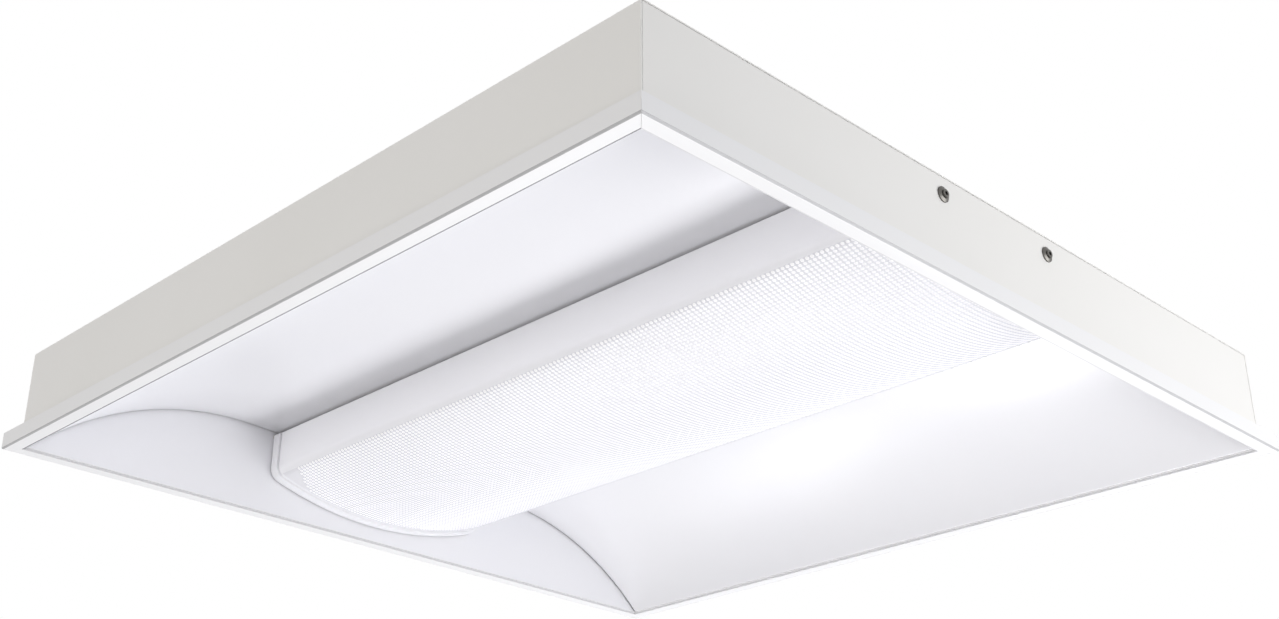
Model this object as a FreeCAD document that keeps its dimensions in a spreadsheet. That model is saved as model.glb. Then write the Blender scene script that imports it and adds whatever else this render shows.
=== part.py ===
import FreeCAD, Part
import math
import os
import re

import Sketcher

# A square recessed ceiling troffer of the 600 mm grid, lying as it hangs: the origin is the
# centre of the ceiling line (the underside of the face frame), +X runs along the lens basket,
# +Y across it and +Z up into the ceiling void. The basket hinges down about its front edge.

doc = FreeCAD.newDocument("RecessedTroffer")
sheet = doc.addObject("Spreadsheet::Sheet", "Sizes")

DRIVING = (
    # face frame: four mitred rails of folded steel strip
    ("face_side", 597.0, "outside of the square face frame"),
    ("face_width", 10.4, "white face seen from the room"),
    ("face_sheet", 0.8, "thickness of the rails"),
    ("lip_rise", 11.3, "height of the upturned outer lip"),
    ("inner_leg_rise", 10.0, "top of the leg inside the housing wall"),
    ("ledge_reach", 1.3, "ledge that carries reflectors and end plates"),
    ("ledge_rise", 1.2, "underside of that ledge above the face"),
    ("mitre_gap", 0.2, "seam between two rails"),
    ("rail_bend", 1.2, "outside bend of the face into the lip"),
    # housing: a folded pan and two end walls
    ("housing_rise", 69.5, "top of the housing above the ceiling line"),
    ("shell_sheet", 0.7, "thickness of pan and end walls"),
    ("pan_bend", 1.5, "outside bend of the pan's long edges"),
    ("end_bend_rest", 0.1, "sheet left inside an end wall's sharp bend"),
    ("end_flange_reach", 14.0, "flanges folded in at an end wall"),
    ("corner_relief", 2.0, "notch between two folded flanges"),
    ("seat_gap", 0.2, "slack between sheets that lie side by side"),
    ("bead_inset", 69.8, "end of a pressed stiffening bead to the pan's end"),
    ("bead_width", 12.0, "width of a bead"),
    ("bead_rise", 2.0, "height of a bead"),
    ("bead_pitch", 120.0, "spacing of the beads"),
    # reflectors and end plates
    ("reflector_sheet", 0.6, "thickness of a side reflector"),
    ("cove_gap", 1.2, "back of a side reflector below the gear tray"),
    ("cove_hem", 2.4, "its flat hem on the frame's ledge"),
    ("cove_shoulder", 35.0, "its inner edge to its highest line"),
    ("cove_inner_drop", 1.2, "its inner edge below its highest line"),
    ("reflector_overlap", 5.0, "inner edge of a reflector past the basket wall"),
    ("reflector_flange", 10.0, "flange folded in under the gear tray"),
    ("reflector_end_gap", 0.3, "end of a reflector to the end plate"),
    ("plate_sheet", 0.7, "thickness of an end plate"),
    ("plate_margin", 0.5, "end plate above the back of a reflector"),
    # gear tray
    ("tray_sheet", 0.8, "thickness of the tray"),
    ("tray_edge", 10.0, "tray past the line of the reflector rivets"),
    ("tray_flange_width", 130.0, "width of its folded end flanges"),
    ("tray_flange_drop", 16.9, "foot of those flanges below the tray"),
    ("tray_rivet_spacing", 102.0, "two blind rivets in each end wall"),
    ("tray_rivet_offset", 4.5, "middle of the two, off the basket's centre line"),
    ("tray_rivet_drop", 9.8, "their centres below the tray"),
    ("tray_rivet_radius", 2.4, "body of a blind rivet"),
    ("tray_rivet_head", 4.75, "flange radius of a blind rivet"),
    ("tray_rivet_head_rise", 1.5, "height of that flange"),
    ("tray_rivet_collar", 3.1, "raised ring on that flange"),
    ("tray_rivet_bore", 1.2, "hollow left by the mandrel"),
    ("tray_rivet_nose", 1.0, "tube standing out of the flange"),
    ("tray_rivet_tail", 3.3, "radius of the upset end inside"),
    ("tray_rivet_tail_length", 1.4, "length of the upset end"),
    ("tray_rivet_clear", 0.9, "end plate hole round the upset end"),
    ("hole_slack", 0.1, "hole radius over the shank in it"),
    # fasteners
    ("rivet_radius", 1.6, "shank of a small rivet"),
    ("rivet_head", 3.0, "head radius of a small rivet"),
    ("rivet_head_rise", 1.0, "head height of a small rivet"),
    ("rivet_tail", 0.5, "shank past the last sheet"),
    ("screw_radius", 1.5, "shank of a small screw"),
    ("screw_head", 2.8, "head radius of a small screw"),
    ("screw_head_rise", 1.6, "head height of a small screw"),
    ("reflector_rivet_spacing", 200.0, "rivets along a reflector flange"),
    # light engine
    ("board_inset", 7.2, "end of an LED board to the end plate"),
    ("board_width", 24.0, "LED board"),
    ("board_sheet", 1.6, "LED board"),
    ("board_offset", 55.0, "LED board centre from the middle"),
    ("board_screw_step", 11, "LED packages from one board screw to the next"),
    ("led_count", 24, "LED packages on a board"),
    ("led_inset", 15.5, "first package to the end of its board"),
    ("led_side", 3.0, "side of a package"),
    ("led_rise", 0.7, "height of a package"),
    ("plug_length", 10.0, "board connector"),
    ("plug_width", 10.0, "board connector"),
    ("plug_rise", 3.0, "board connector"),
    # driver
    ("driver_length", 240.0, "metal case of the LED driver"),
    ("driver_width", 30.0, "metal case of the LED driver"),
    ("driver_rise", 21.0, "base plate and case together"),
    ("driver_offset", 230.0, "middle of the case from the access opening's"),
    ("driver_base_sheet", 1.2, "its base plate"),
    ("driver_ear", 32.0, "base plate past each end of the case"),
    ("driver_edge", 2.0, "rounding of the case"),
    ("driver_screw_inset", 6.0, "screw from the end of an ear"),
    ("driver_screw_radius", 1.9, "shank of a driver screw"),
    ("driver_screw_head", 3.5, "head radius of a driver screw"),
    ("driver_plug_length", 20.0, "terminal housing at each end"),
    ("driver_plug_width", 26.0, "terminal housing at each end"),
    ("driver_plug_rise", 16.0, "terminal housing at each end"),
    ("lead_radius", 1.2, "insulated single lead"),
    ("lead_entry", 6.0, "depth of a lead's hole in a terminal"),
    ("lead_pitch", 12.0, "spacing of the supply leads"),
    ("lead_rise", 7.0, "leads above the terminal bracket's shelf"),
    ("led_lead_offset", 6.0, "LED leads from the middle at the driver"),
    # supply terminal and its bracket
    ("opening_inset", 89.8, "centre of the access opening to the pan's end"),
    ("opening_length", 80.0, "access opening"),
    ("opening_width", 54.0, "access opening"),
    ("bracket_sheet", 1.0, "terminal bracket"),
    ("bracket_width", 44.0, "terminal bracket"),
    ("bracket_shelf", 70.0, "its shelf"),
    ("bracket_flange", 14.0, "its flange under the tray"),
    ("bracket_drop", 20.9, "shelf top below the tray"),
    ("bracket_bend", 0.8, "its bends"),
    ("block_offset", 15.0, "terminal block from the opening's centre"),
    ("block_length", 40.0, "terminal block across the basket"),
    ("block_depth", 20.0, "terminal block along the basket"),
    ("block_rise", 16.0, "terminal block"),
    ("block_edge", 1.0, "terminal block rounding"),
    ("button_side", 7.0, "release button"),
    ("button_rise", 6.5, "release button"),
    ("button_proud", 2.0, "release button above the block"),
    ("button_travel", 1.2, "stroke of a release button"),
    ("button_slack", 0.3, "gap round a release button"),
    ("earth_offset", 70.0, "earth screw from the opening's centre"),
    ("earth_across", 32.0, "earth screw from the middle"),
    ("earth_tag_radius", 4.0, "ring tag under the earth screw"),
    ("earth_tag_sheet", 0.8, "ring tag under the earth screw"),
    # access cover on the housing's back
    ("cover_overlap", 10.0, "cover past the opening"),
    ("cover_sheet", 0.8, "cover plate"),
    ("knuckle_radius", 1.5, "rolled knuckles of its hinge"),
    ("knuckle_length", 20.0, "fixed knuckle in the middle"),
    ("knuckle_outer_length", 14.0, "each knuckle of the cover"),
    ("knuckle_gap", 0.3, "between two knuckles"),
    ("hinge_wire_radius", 0.8, "pin of the cover hinge"),
    ("leaf_length", 14.0, "fixed hinge leaf"),
    ("running_gap", 0.05, "pin in its bore"),
    ("cover_screw_inset", 5.0, "screw from the cover's edge"),
    ("cover_screw_hole", 2.6, "hole for it in the pan"),
    ("cover_screw_tail", 0.8, "its shank below the pan"),
    ("bush_offset", 22.0, "cable bush from the opening's centre"),
    ("bush_hole", 11.1, "knockout hole in the cover"),
    ("bush_body", 11.0, "cable bush in the hole"),
    ("bush_flange", 13.5, "flange of the cable bush"),
    ("bush_flange_rise", 2.0, "flange of the cable bush"),
    ("bush_bore", 7.0, "way for the supply cable"),
    ("bush_drop", 3.5, "cable bush below the cover"),
    ("bush_barb", 0.6, "snap ring below the cover"),
    # hanger brackets on the housing's back
    ("hanger_inset", 39.8, "hanger hole to the pan's end"),
    ("hanger_across", 240.0, "spacing of the hangers across the basket"),
    ("hanger_length", 44.0, "bridge strap"),
    ("hanger_width", 18.0, "bridge strap"),
    ("hanger_foot", 12.0, "foot of the strap"),
    ("hanger_sheet", 1.2, "bridge strap"),
    ("hanger_rise", 6.0, "clear height under the bridge"),
    ("hanger_hole", 3.25, "hole for a hanger wire or rod"),
    # basket
    ("basket_width", 190.0, "outside of the lens basket's walls"),
    ("basket_bottom", 14.4, "lowest line of the lens"),
    ("lens_radius", 290.0, "shallow arc across the lens"),
    ("basket_corner", 8.0, "corner between wall and lens"),
    ("basket_sheet", 0.6, "perforated sheet"),
    ("basket_return", 12.0, "flange folded in at the top"),
    ("cap_proud", 2.0, "end cap band outside the sheet"),
    ("cap_reach", 7.0, "end cap along the basket"),
    ("cap_web", 2.2, "end cap's end wall"),
    ("cap_gap", 1.0, "end cap to end plate"),
    ("cap_clear", 0.2, "sheet inside the end cap"),
    ("cap_boss_width", 6.0, "screw boss in an end cap"),
    ("cap_boss_rise", 6.5, "screw boss in an end cap"),
    ("cap_screw_head", 2.2, "head radius of a cap screw"),
    ("cap_screw_head_rise", 1.2, "head height of a cap screw"),
    ("cap_screw_radius", 1.2, "shank of a cap screw"),
    ("cap_screw_length", 4.0, "shank in the boss"),
    ("inlay_sheet", 1.2, "opal diffuser inlay"),
    ("inlay_gap", 0.2, "inlay above the perforated sheet"),
    ("inlay_upstand", 4.0, "its turned-up edges above the basket's corners"),
    ("inlay_end_gap", 0.3, "inlay to the end caps"),
    ("clip_sheet", 0.6, "spring clip on the inlay"),
    ("clip_length", 14.0, "spring clip along the basket"),
    ("clip_spacing", 350.0, "clips along the basket"),
    ("clip_reach", 3.0, "its hook down the inside of the inlay"),
    ("clip_rise", 10.0, "its leg up the basket's wall"),
    ("clip_gap", 0.3, "clip above the inlay"),
    ("hinge_pin_radius", 1.6, "basket hinge pin"),
    ("hinge_pin_seat", 2.0, "pin inside the end cap"),
    ("hinge_pin_length", 4.4, "whole pin"),
    ("hinge_bush_radius", 2.2, "nylon hinge bush in the end plate"),
    ("hinge_bush_flange", 4.0, "flange of that bush"),
    ("hinge_bush_flange_rise", 0.8, "flange of that bush"),
    ("magnet_length", 30.0, "catch magnet"),
    ("magnet_width", 7.0, "catch magnet"),
    ("magnet_rise", 3.6, "catch magnet"),
    ("magnet_spacing", 300.0, "catch magnets along the basket"),
    ("catch_gap", 0.3, "magnet above the basket's flange"),
)

for row, (alias, value, note) in enumerate(DRIVING, start=1):
    sheet.set(f"A{row}", note)
    sheet.set(f"B{row}", str(value))
    sheet.setAlias(f"B{row}", alias)
doc.recompute()
ALIASES = {alias for alias, value, note in DRIVING}

# Places that several pieces share, as expressions of the driving dimensions.
FACE = "(face_side / 2)"
OPENING = "(face_side / 2 - face_width)"
WALL_INSIDE = "(face_side / 2 - face_width + face_sheet + seat_gap)"
HOUSING = "(face_side / 2 - face_width + face_sheet + seat_gap + shell_sheet)"
SEAT = "(ledge_rise + face_sheet)"
PAN_UNDER = "(housing_rise - shell_sheet)"
END_TOP = "(housing_rise - shell_sheet - seat_gap)"
TRAY_TOP = "(housing_rise - 2 * shell_sheet - 2 * seat_gap)"
TRAY_UNDER = "(housing_rise - 2 * shell_sheet - 2 * seat_gap - tray_sheet)"
BEAD_LENGTH = f"(2 * ({HOUSING} - bead_inset))"
PLATE_OUT = "(face_side / 2 - face_width - seat_gap)"
PLATE_IN = "(face_side / 2 - face_width - seat_gap - plate_sheet)"
INNER_EDGE = "(basket_width / 2 - reflector_overlap)"
RIVET_LINE = f"({INNER_EDGE} - reflector_flange / 2)"
TRAY_HALF = f"({RIVET_LINE} + tray_edge)"
TRAY_RIVET_UP = f"({TRAY_UNDER} - tray_rivet_drop)"
TRAY_RIVETS = [f"{side}tray_rivet_spacing / 2 - tray_rivet_offset" for side in ("-", "")]
COVE_APEX = f"({TRAY_UNDER} - reflector_sheet - cove_gap)"
COVE_CENTRE = f"({INNER_EDGE} + cove_shoulder)"
COVE_INNER = f"({COVE_APEX} - cove_inner_drop)"
HEM_START = f"({PLATE_OUT} - cove_hem)"
COVE_REACH = f"({HEM_START} - {COVE_CENTRE})"
COVE_RISE = f"({COVE_APEX} - {SEAT})"
COVE_RADIUS = f"(({COVE_REACH}^2 + {COVE_RISE}^2) / (2 * {COVE_RISE}))"
COVE_AXIS = f"({COVE_APEX} - {COVE_RADIUS})"
CAP_OUT = f"({PLATE_IN} - cap_gap)"
CAP_IN = f"({PLATE_IN} - cap_gap - cap_reach)"
WEB_IN = f"({PLATE_IN} - cap_gap - cap_web)"
SHEET_END = f"({PLATE_IN} - cap_gap - cap_web - cap_clear)"
BASKET_TOP = f"({TRAY_UNDER} - reflector_sheet - magnet_rise - catch_gap)"
HINGE_ACROSS = "(-basket_width / 2)"
HINGE_UP = f"({BASKET_TOP} - cap_proud)"
LENS_AXIS = "(basket_bottom + lens_radius)"
CORNER_ACROSS = "(basket_width / 2 - basket_corner)"
CORNER_UP = f"({LENS_AXIS} - sqrt((lens_radius - basket_corner)^2 - {CORNER_ACROSS}^2))"
INLAY_TOP = f"({CORNER_UP} + inlay_upstand)"
BOARD_END = f"({PLATE_IN} - board_inset)"
LED_END = f"({BOARD_END} - led_inset)"
LED_PITCH = f"(2 * {LED_END} / (led_count - 1))"
OPENING_ALONG = f"({HOUSING} - opening_inset)"
OPENING_LOW = f"({OPENING_ALONG} - opening_length / 2)"
OPENING_HIGH = f"({OPENING_ALONG} + opening_length / 2)"
COVER_LOW = f"({OPENING_LOW} - cover_overlap)"
COVER_HIGH = f"({OPENING_HIGH} + cover_overlap)"
COVER_TOP = "(housing_rise + cover_sheet)"
KNUCKLE_UP = "(housing_rise + seat_gap / 2 + knuckle_radius)"
BUSH_ALONG = f"({OPENING_ALONG} + bush_offset)"
EARTH_ALONG = f"({OPENING_ALONG} - earth_offset)"
BRACKET_WEB = f"({OPENING_HIGH} + 2 * bracket_sheet)"
SHELF_TOP = f"({TRAY_UNDER} - bracket_drop)"
LEAD_UP = f"({SHELF_TOP} + lead_rise)"
BLOCK_TOP = f"({SHELF_TOP} + block_rise)"
BLOCK_ALONG = f"({OPENING_ALONG} - block_offset)"
BLOCK_FACE = f"({BLOCK_ALONG} - block_depth / 2)"
BASE_UNDER = f"({TRAY_UNDER} - driver_base_sheet)"
HANGER_ALONG = f"({HOUSING} - hanger_inset)"
DRIVER_LOW = f"({OPENING_ALONG} - driver_offset - driver_length / 2)"
DRIVER_HIGH = f"({OPENING_ALONG} - driver_offset + driver_length / 2)"

subparts = []


def number(expression):
    """The value of an expression of the sheet's aliases."""
    return float(sheet.evalExpression(expression))


def bind(item, setting, expression):
    """Ties one property of an object to the sheet."""
    tied = re.sub(r"[a-z][a-z_]*", lambda m: f"Sizes.{m[0]}" if m[0] in ALIASES else m[0], expression)
    item.setExpression(setting, tied)


def new_body(label):
    """An empty body that becomes the sub-part of that name."""
    body = doc.addObject("PartDesign::Body", "Body_" + label)
    body.Label = label
    subparts.append(body)
    return body


def new_sketch(body, plane, lift="0"):
    """A sketch on one of the body's own planes, raised along the plane's normal."""
    sketch = body.newObject("Sketcher::SketchObject", "Sketch")
    support = [item for item in body.Origin.OriginFeatures if item.Role == plane + "_Plane"]
    sketch.AttachmentSupport = [(support[0], "")]
    sketch.MapMode = "FlatFace"
    bind(sketch, "AttachmentOffset.Base.z", lift)
    return sketch


def point_ties(geometry, end, across, up):
    """The two constraints that tie a point to its distances from the sketch's origin."""
    return [
        (Sketcher.Constraint(kind, -1, 1, geometry, end, number(distance)), distance)
        for kind, distance in (("DistanceX", across), ("DistanceY", up))
    ]


def add_ties(sketch, ties):
    """Adds constraints and binds those that come with an expression to the sheet."""
    indices = sketch.addConstraint([constraint for constraint, expression in ties])
    for index, (constraint, expression) in zip(indices, ties):
        if expression:
            bind(sketch, f"Constraints[{index}]", expression)


def add_outline(sketch, corners, arcs=None):
    """A closed outline. arcs maps a corner to (radius, side) of the arc that leaves it.

    side is 1 where the arc's centre lies to the left of the way, -1 where it lies to the right.
    A half circle gives a third entry, its centre's distance across, which ties it instead.
    """
    arcs = arcs or {}
    points = [FreeCAD.Vector(number(across), number(up), 0) for across, up in corners]
    ends = []
    ties = []
    for index, start in enumerate(points):
        stop = points[(index + 1) % len(points)]
        if index not in arcs:
            ends.append((sketch.addGeometry(Part.LineSegment(start, stop)), 1, 2))
            continue
        radius_text, side, *half_circle = arcs[index]
        radius = number(radius_text)
        chord = stop - start
        sagitta = math.sqrt(max(radius**2 - chord.Length**2 / 4, 0))
        normal = FreeCAD.Vector(-chord.y, chord.x, 0).normalize()
        centre = (start + stop) * 0.5 + normal * (side * sagitta)
        first, last = (start, stop) if side > 0 else (stop, start)
        angles = [math.atan2(p.y - centre.y, p.x - centre.x) for p in (first, last)]
        circle = Part.Circle(centre, FreeCAD.Vector(0, 0, 1), radius)
        geometry = sketch.addGeometry(Part.ArcOfCircle(circle, *angles))
        if half_circle:
            ties.append(point_ties(geometry, 3, half_circle[0], "0")[0])
        else:
            ties.append((Sketcher.Constraint("Radius", geometry, radius), radius_text))
        ends.append((geometry, 1, 2) if side > 0 else (geometry, 2, 1))
    for index, (geometry, start_end, stop_end) in enumerate(ends):
        follower = ends[(index + 1) % len(ends)]
        ties.append((Sketcher.Constraint("Coincident", geometry, stop_end, *follower[:2]), None))
        ties += point_ties(geometry, start_end, *corners[index])
    add_ties(sketch, ties)


def add_circle(sketch, across, up, radius):
    """A circle tied to its centre and radius."""
    centre = FreeCAD.Vector(number(across), number(up), 0)
    circle = Part.Circle(centre, FreeCAD.Vector(0, 0, 1), number(radius))
    geometry = sketch.addGeometry(circle)
    size = Sketcher.Constraint("Radius", geometry, number(radius))
    add_ties(sketch, [(size, radius), *point_ties(geometry, 3, across, up)])


def box_corners(low_across, high_across, low_up, high_up):
    """The four corners of an upright rectangle."""
    return [
        (low_across, low_up),
        (high_across, low_up),
        (high_across, high_up),
        (low_across, high_up),
    ]


def pad(body, sketch, length, both_ways=False):
    """Raises a sketch along its normal, or half each way."""
    feature = body.newObject("PartDesign::Pad", "Pad")
    feature.Profile = sketch
    bind(feature, "Length", length)
    feature.Midplane = both_ways
    sketch.Visibility = False
    doc.recompute()
    return feature


def pocket(body, sketch, depth=None, forward=False):
    """Cuts a sketch right through, or to a depth against or along its normal."""
    before = body.Shape.Volume
    feature = body.newObject("PartDesign::Pocket", "Pocket")
    feature.Profile = sketch
    if depth is None:
        feature.Type = "ThroughAll"
        feature.Midplane = True
    else:
        bind(feature, "Length", depth)
        feature.Reversed = forward
    sketch.Visibility = False
    doc.recompute()
    if not body.Shape.Volume < before:
        raise RuntimeError(f"a pocket of {body.Label} cuts nothing: {feature.State}")
    return feature


# Edges whose distance from a line is below this lie on it.
SAME_LINE = 1e-6


def round_edges(body, direction, places, radius):
    """Rounds the straight edges that run along a direction through the given places."""
    base = body.Tip
    names = []
    for index, edge in enumerate(base.Shape.Edges, start=1):
        ends = [vertex.Point for vertex in edge.Vertexes]
        if len(ends) != 2 or (ends[1] - ends[0]).cross(direction).Length > SAME_LINE:
            continue
        for place in places:
            offset = ends[0] - FreeCAD.Vector(*[number(value) for value in place])
            if offset.cross(direction).Length < SAME_LINE:
                names.append(f"Edge{index}")
    if not names:
        raise RuntimeError(f"{body.Label} has no edge to round")
    feature = body.newObject("PartDesign::Fillet", "Fillet")
    feature.Base = (base, names)
    bind(feature, "Radius", radius)
    doc.recompute()
    return feature


ALONG_X = FreeCAD.Vector(1, 0, 0)
ALONG_Y = FreeCAD.Vector(0, 1, 0)
ALONG_Z = FreeCAD.Vector(0, 0, 1)


def stacked_discs(label, plane, places, discs):
    """Like turned pieces side by side: discs are (radius, low, high) along the plane's normal."""
    body = new_body(label)
    for radius, low, high in discs:
        sketch = new_sketch(body, plane, low)
        for across, up in places:
            add_circle(sketch, across, up, radius)
        pad(body, sketch, f"{high} - ({low})")
    return body


def mirrored_pairs(spacing, across):
    """Two places either side of the middle on each side of the basket."""
    return [(f"{sx}{spacing} / 2", f"{sy}{across}") for sx in ("-", "") for sy in ("-", "")]


# ---- face frame -------------------------------------------------------------------------------


def make_face_rail(label, turn):
    """One mitred rail: outer lip, face, ledge and the leg inside the housing wall."""
    body = new_body(label)
    sketch = new_sketch(body, "YZ")
    add_outline(
        sketch,
        [
            (f"-{FACE}", "0"),
            (f"-{OPENING}", "0"),
            (f"-{OPENING}", "ledge_rise"),
            (f"-{OPENING} + ledge_reach", "ledge_rise"),
            (f"-{OPENING} + ledge_reach", SEAT),
            (f"-{OPENING}", SEAT),
            (f"-{OPENING}", "inner_leg_rise"),
            (f"-{OPENING} - face_sheet", "inner_leg_rise"),
            (f"-{OPENING} - face_sheet", "face_sheet"),
            (f"-{FACE} + face_sheet", "face_sheet"),
            (f"-{FACE} + face_sheet", "lip_rise"),
            (f"-{FACE}", "lip_rise"),
        ],
    )
    pad(body, sketch, "face_side", both_ways=True)
    mitres = new_sketch(body, "XY")
    for side in ("", "-"):
        add_outline(
            mitres,
            [
                (f"{side}({OPENING} / 2 - mitre_gap / 2)", f"-{OPENING} / 2"),
                (f"{side}(face_side - mitre_gap / 2)", "-face_side"),
                (f"{side}(face_side - mitre_gap / 2)", f"-{OPENING} / 2"),
            ],
        )
    pocket(body, mitres)
    round_edges(body, ALONG_X, [("0", f"-{FACE}", "0")], "rail_bend")
    round_edges(
        body, ALONG_X, [("0", f"-{FACE} + face_sheet", "face_sheet")], "rail_bend - face_sheet"
    )
    body.Placement = FreeCAD.Placement(FreeCAD.Vector(), FreeCAD.Rotation(ALONG_Z, turn))


# ---- housing ----------------------------------------------------------------------------------


def add_slots(sketch, rows, length, width):
    """Round-ended slots along X, one on each row."""
    for row in rows:
        straight = f"({length} / 2 - {width} / 2)"
        add_outline(
            sketch,
            [
                (f"-{straight}", f"{row} - {width} / 2"),
                (straight, f"{row} - {width} / 2"),
                (straight, f"{row} + {width} / 2"),
                (f"-{straight}", f"{row} + {width} / 2"),
            ],
            {1: (f"{width} / 2", 1, straight), 3: (f"{width} / 2", 1, f"-{straight}")},
        )


def make_housing_pan():
    """Top and long side walls folded from one sheet, with beads, holes and the access opening."""
    body = new_body("housing_pan")
    sketch = new_sketch(body, "YZ")
    add_outline(
        sketch,
        [
            (f"-{HOUSING}", "face_sheet"),
            (f"-{WALL_INSIDE}", "face_sheet"),
            (f"-{WALL_INSIDE}", PAN_UNDER),
            (WALL_INSIDE, PAN_UNDER),
            (WALL_INSIDE, "face_sheet"),
            (HOUSING, "face_sheet"),
            (HOUSING, "housing_rise"),
            (f"-{HOUSING}", "housing_rise"),
        ],
    )
    pad(body, sketch, f"2 * {HOUSING}", both_ways=True)
    long_edges = [("0", f"-{HOUSING}", "housing_rise"), ("0", HOUSING, "housing_rise")]
    round_edges(body, ALONG_X, long_edges, "pan_bend")
    inner_edges = [("0", f"-{WALL_INSIDE}", PAN_UNDER), ("0", WALL_INSIDE, PAN_UNDER)]
    round_edges(body, ALONG_X, inner_edges, "pan_bend - shell_sheet")
    rows = [f"{step} * bead_pitch / 2" for step in (-3, -1, 1, 3)]
    beads = new_sketch(body, "XY", "housing_rise")
    add_slots(beads, rows, BEAD_LENGTH, "bead_width")
    pad(body, beads, "bead_rise")
    hollows = new_sketch(body, "XY", PAN_UNDER)
    add_slots(
        hollows, rows, f"({BEAD_LENGTH} - 2 * shell_sheet)", "(bead_width - 2 * shell_sheet)"
    )
    pocket(body, hollows, "bead_rise", forward=True)
    holes = new_sketch(body, "XY")
    add_outline(
        holes,
        box_corners(
            OPENING_LOW,
            OPENING_HIGH,
            "-opening_width / 2",
            "opening_width / 2",
        ),
    )
    for across, up in HANGER_RIVETS + LEAF_RIVETS:
        add_circle(holes, across, up, "rivet_radius + hole_slack")
    add_circle(holes, f"{COVER_HIGH} - cover_screw_inset", "0", "cover_screw_hole")
    pocket(body, holes)


def make_end_wall(label, turn):
    """An end wall with flanges folded in at its top and at both sides."""
    body = new_body(label)
    sketch = new_sketch(body, "XZ")
    add_outline(
        sketch,
        [
            (HOUSING, "face_sheet"),
            (HOUSING, END_TOP),
            (f"{HOUSING} - end_flange_reach", END_TOP),
            (f"{HOUSING} - end_flange_reach", f"{END_TOP} - shell_sheet"),
            (WALL_INSIDE, f"{END_TOP} - shell_sheet"),
            (WALL_INSIDE, "face_sheet"),
        ],
    )
    pad(body, sketch, f"2 * ({WALL_INSIDE} - seat_gap)", both_ways=True)
    flanges = new_sketch(body, "XY", "inner_leg_rise + seat_gap")
    for side in ("-", ""):
        near = f"{side}({WALL_INSIDE} - seat_gap)"
        far = f"{side}({WALL_INSIDE} - seat_gap - shell_sheet)"
        add_outline(
            flanges,
            box_corners(
                f"{HOUSING} - end_flange_reach", f"{HOUSING} - shell_sheet / 2", near, far
            ),
        )
    flange_top = f"({END_TOP} - shell_sheet - corner_relief)"
    pad(body, flanges, f"{flange_top} - inner_leg_rise - seat_gap")
    round_edges(body, ALONG_Y, [(HOUSING, "0", END_TOP)], "shell_sheet - end_bend_rest")
    corners = [(HOUSING, f"{side}({WALL_INSIDE} - seat_gap)", "0") for side in ("-", "")]
    round_edges(body, ALONG_Z, corners, "shell_sheet - end_bend_rest")
    holes = new_sketch(body, "YZ")
    shift = "+" if turn else "-"
    for side in ("-", ""):
        across = f"{side}tray_rivet_spacing / 2 {shift} tray_rivet_offset"
        add_circle(holes, across, TRAY_RIVET_UP, "tray_rivet_radius + hole_slack")
    pocket(body, holes)
    body.Placement = FreeCAD.Placement(FreeCAD.Vector(), FreeCAD.Rotation(ALONG_Z, turn))


# ---- reflectors and end plates ----------------------------------------------------------------


def make_side_reflector(label, turn):
    """A cove of rolled sheet: hem on the ledge, arc, and a flange under the gear tray."""
    body = new_body(label)
    sketch = new_sketch(body, "YZ")
    back_radius = f"({COVE_RADIUS} + reflector_sheet)"
    back_seat = f"({SEAT} + reflector_sheet)"
    back_hem = f"({COVE_CENTRE} + sqrt({back_radius}^2 - ({back_seat} - {COVE_AXIS})^2))"
    flange_end = f"({INNER_EDGE} - reflector_flange)"
    add_outline(
        sketch,
        [
            (PLATE_OUT, SEAT),
            (HEM_START, SEAT),
            (COVE_CENTRE, COVE_APEX),
            (INNER_EDGE, COVE_INNER),
            (INNER_EDGE, f"{TRAY_UNDER} - reflector_sheet"),
            (flange_end, f"{TRAY_UNDER} - reflector_sheet"),
            (flange_end, TRAY_UNDER),
            (f"{INNER_EDGE} + reflector_sheet", TRAY_UNDER),
            (f"{INNER_EDGE} + reflector_sheet", f"{COVE_INNER} + reflector_sheet"),
            (COVE_CENTRE, f"{COVE_APEX} + reflector_sheet"),
            (back_hem, back_seat),
            (PLATE_OUT, back_seat),
        ],
        {1: (COVE_RADIUS, 1), 9: (back_radius, -1)},
    )
    pad(body, sketch, f"2 * ({PLATE_IN} - reflector_end_gap)", both_ways=True)
    holes = new_sketch(body, "XY")
    for along in REFLECTOR_STATIONS:
        add_circle(holes, along, RIVET_LINE, "rivet_radius + hole_slack")
    pocket(body, holes)
    body.Placement = FreeCAD.Placement(FreeCAD.Vector(), FreeCAD.Rotation(ALONG_Z, turn))


def make_end_plate(label, side):
    """An upright plate that closes both coves, its top edge following the reflectors."""
    body = new_body(label)
    low = PLATE_IN if side > 0 else f"-{PLATE_OUT}"
    sketch = new_sketch(body, "YZ", low)
    edge_radius = f"({COVE_RADIUS} + reflector_sheet + plate_margin)"
    foot = f"({COVE_CENTRE} + sqrt({edge_radius}^2 - ({SEAT} - {COVE_AXIS})^2))"
    crown = f"({COVE_APEX} + reflector_sheet + plate_margin)"
    shelf = f"({TRAY_UNDER} - seat_gap)"
    add_outline(
        sketch,
        [
            (f"-{foot}", SEAT),
            (foot, SEAT),
            (COVE_CENTRE, crown),
            (f"{TRAY_HALF} + corner_relief", shelf),
            (f"-{TRAY_HALF} - corner_relief", shelf),
            (f"-{COVE_CENTRE}", crown),
        ],
        {1: (edge_radius, 1), 5: (edge_radius, 1)},
    )
    pad(body, sketch, "plate_sheet")
    holes = new_sketch(body, "YZ")
    add_circle(holes, HINGE_ACROSS, HINGE_UP, "hinge_bush_radius")
    for across in TRAY_RIVETS:
        add_circle(holes, across, TRAY_RIVET_UP, "tray_rivet_tail + tray_rivet_clear")
    pocket(body, holes)


# ---- gear tray and its fixings ----------------------------------------------------------------


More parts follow.
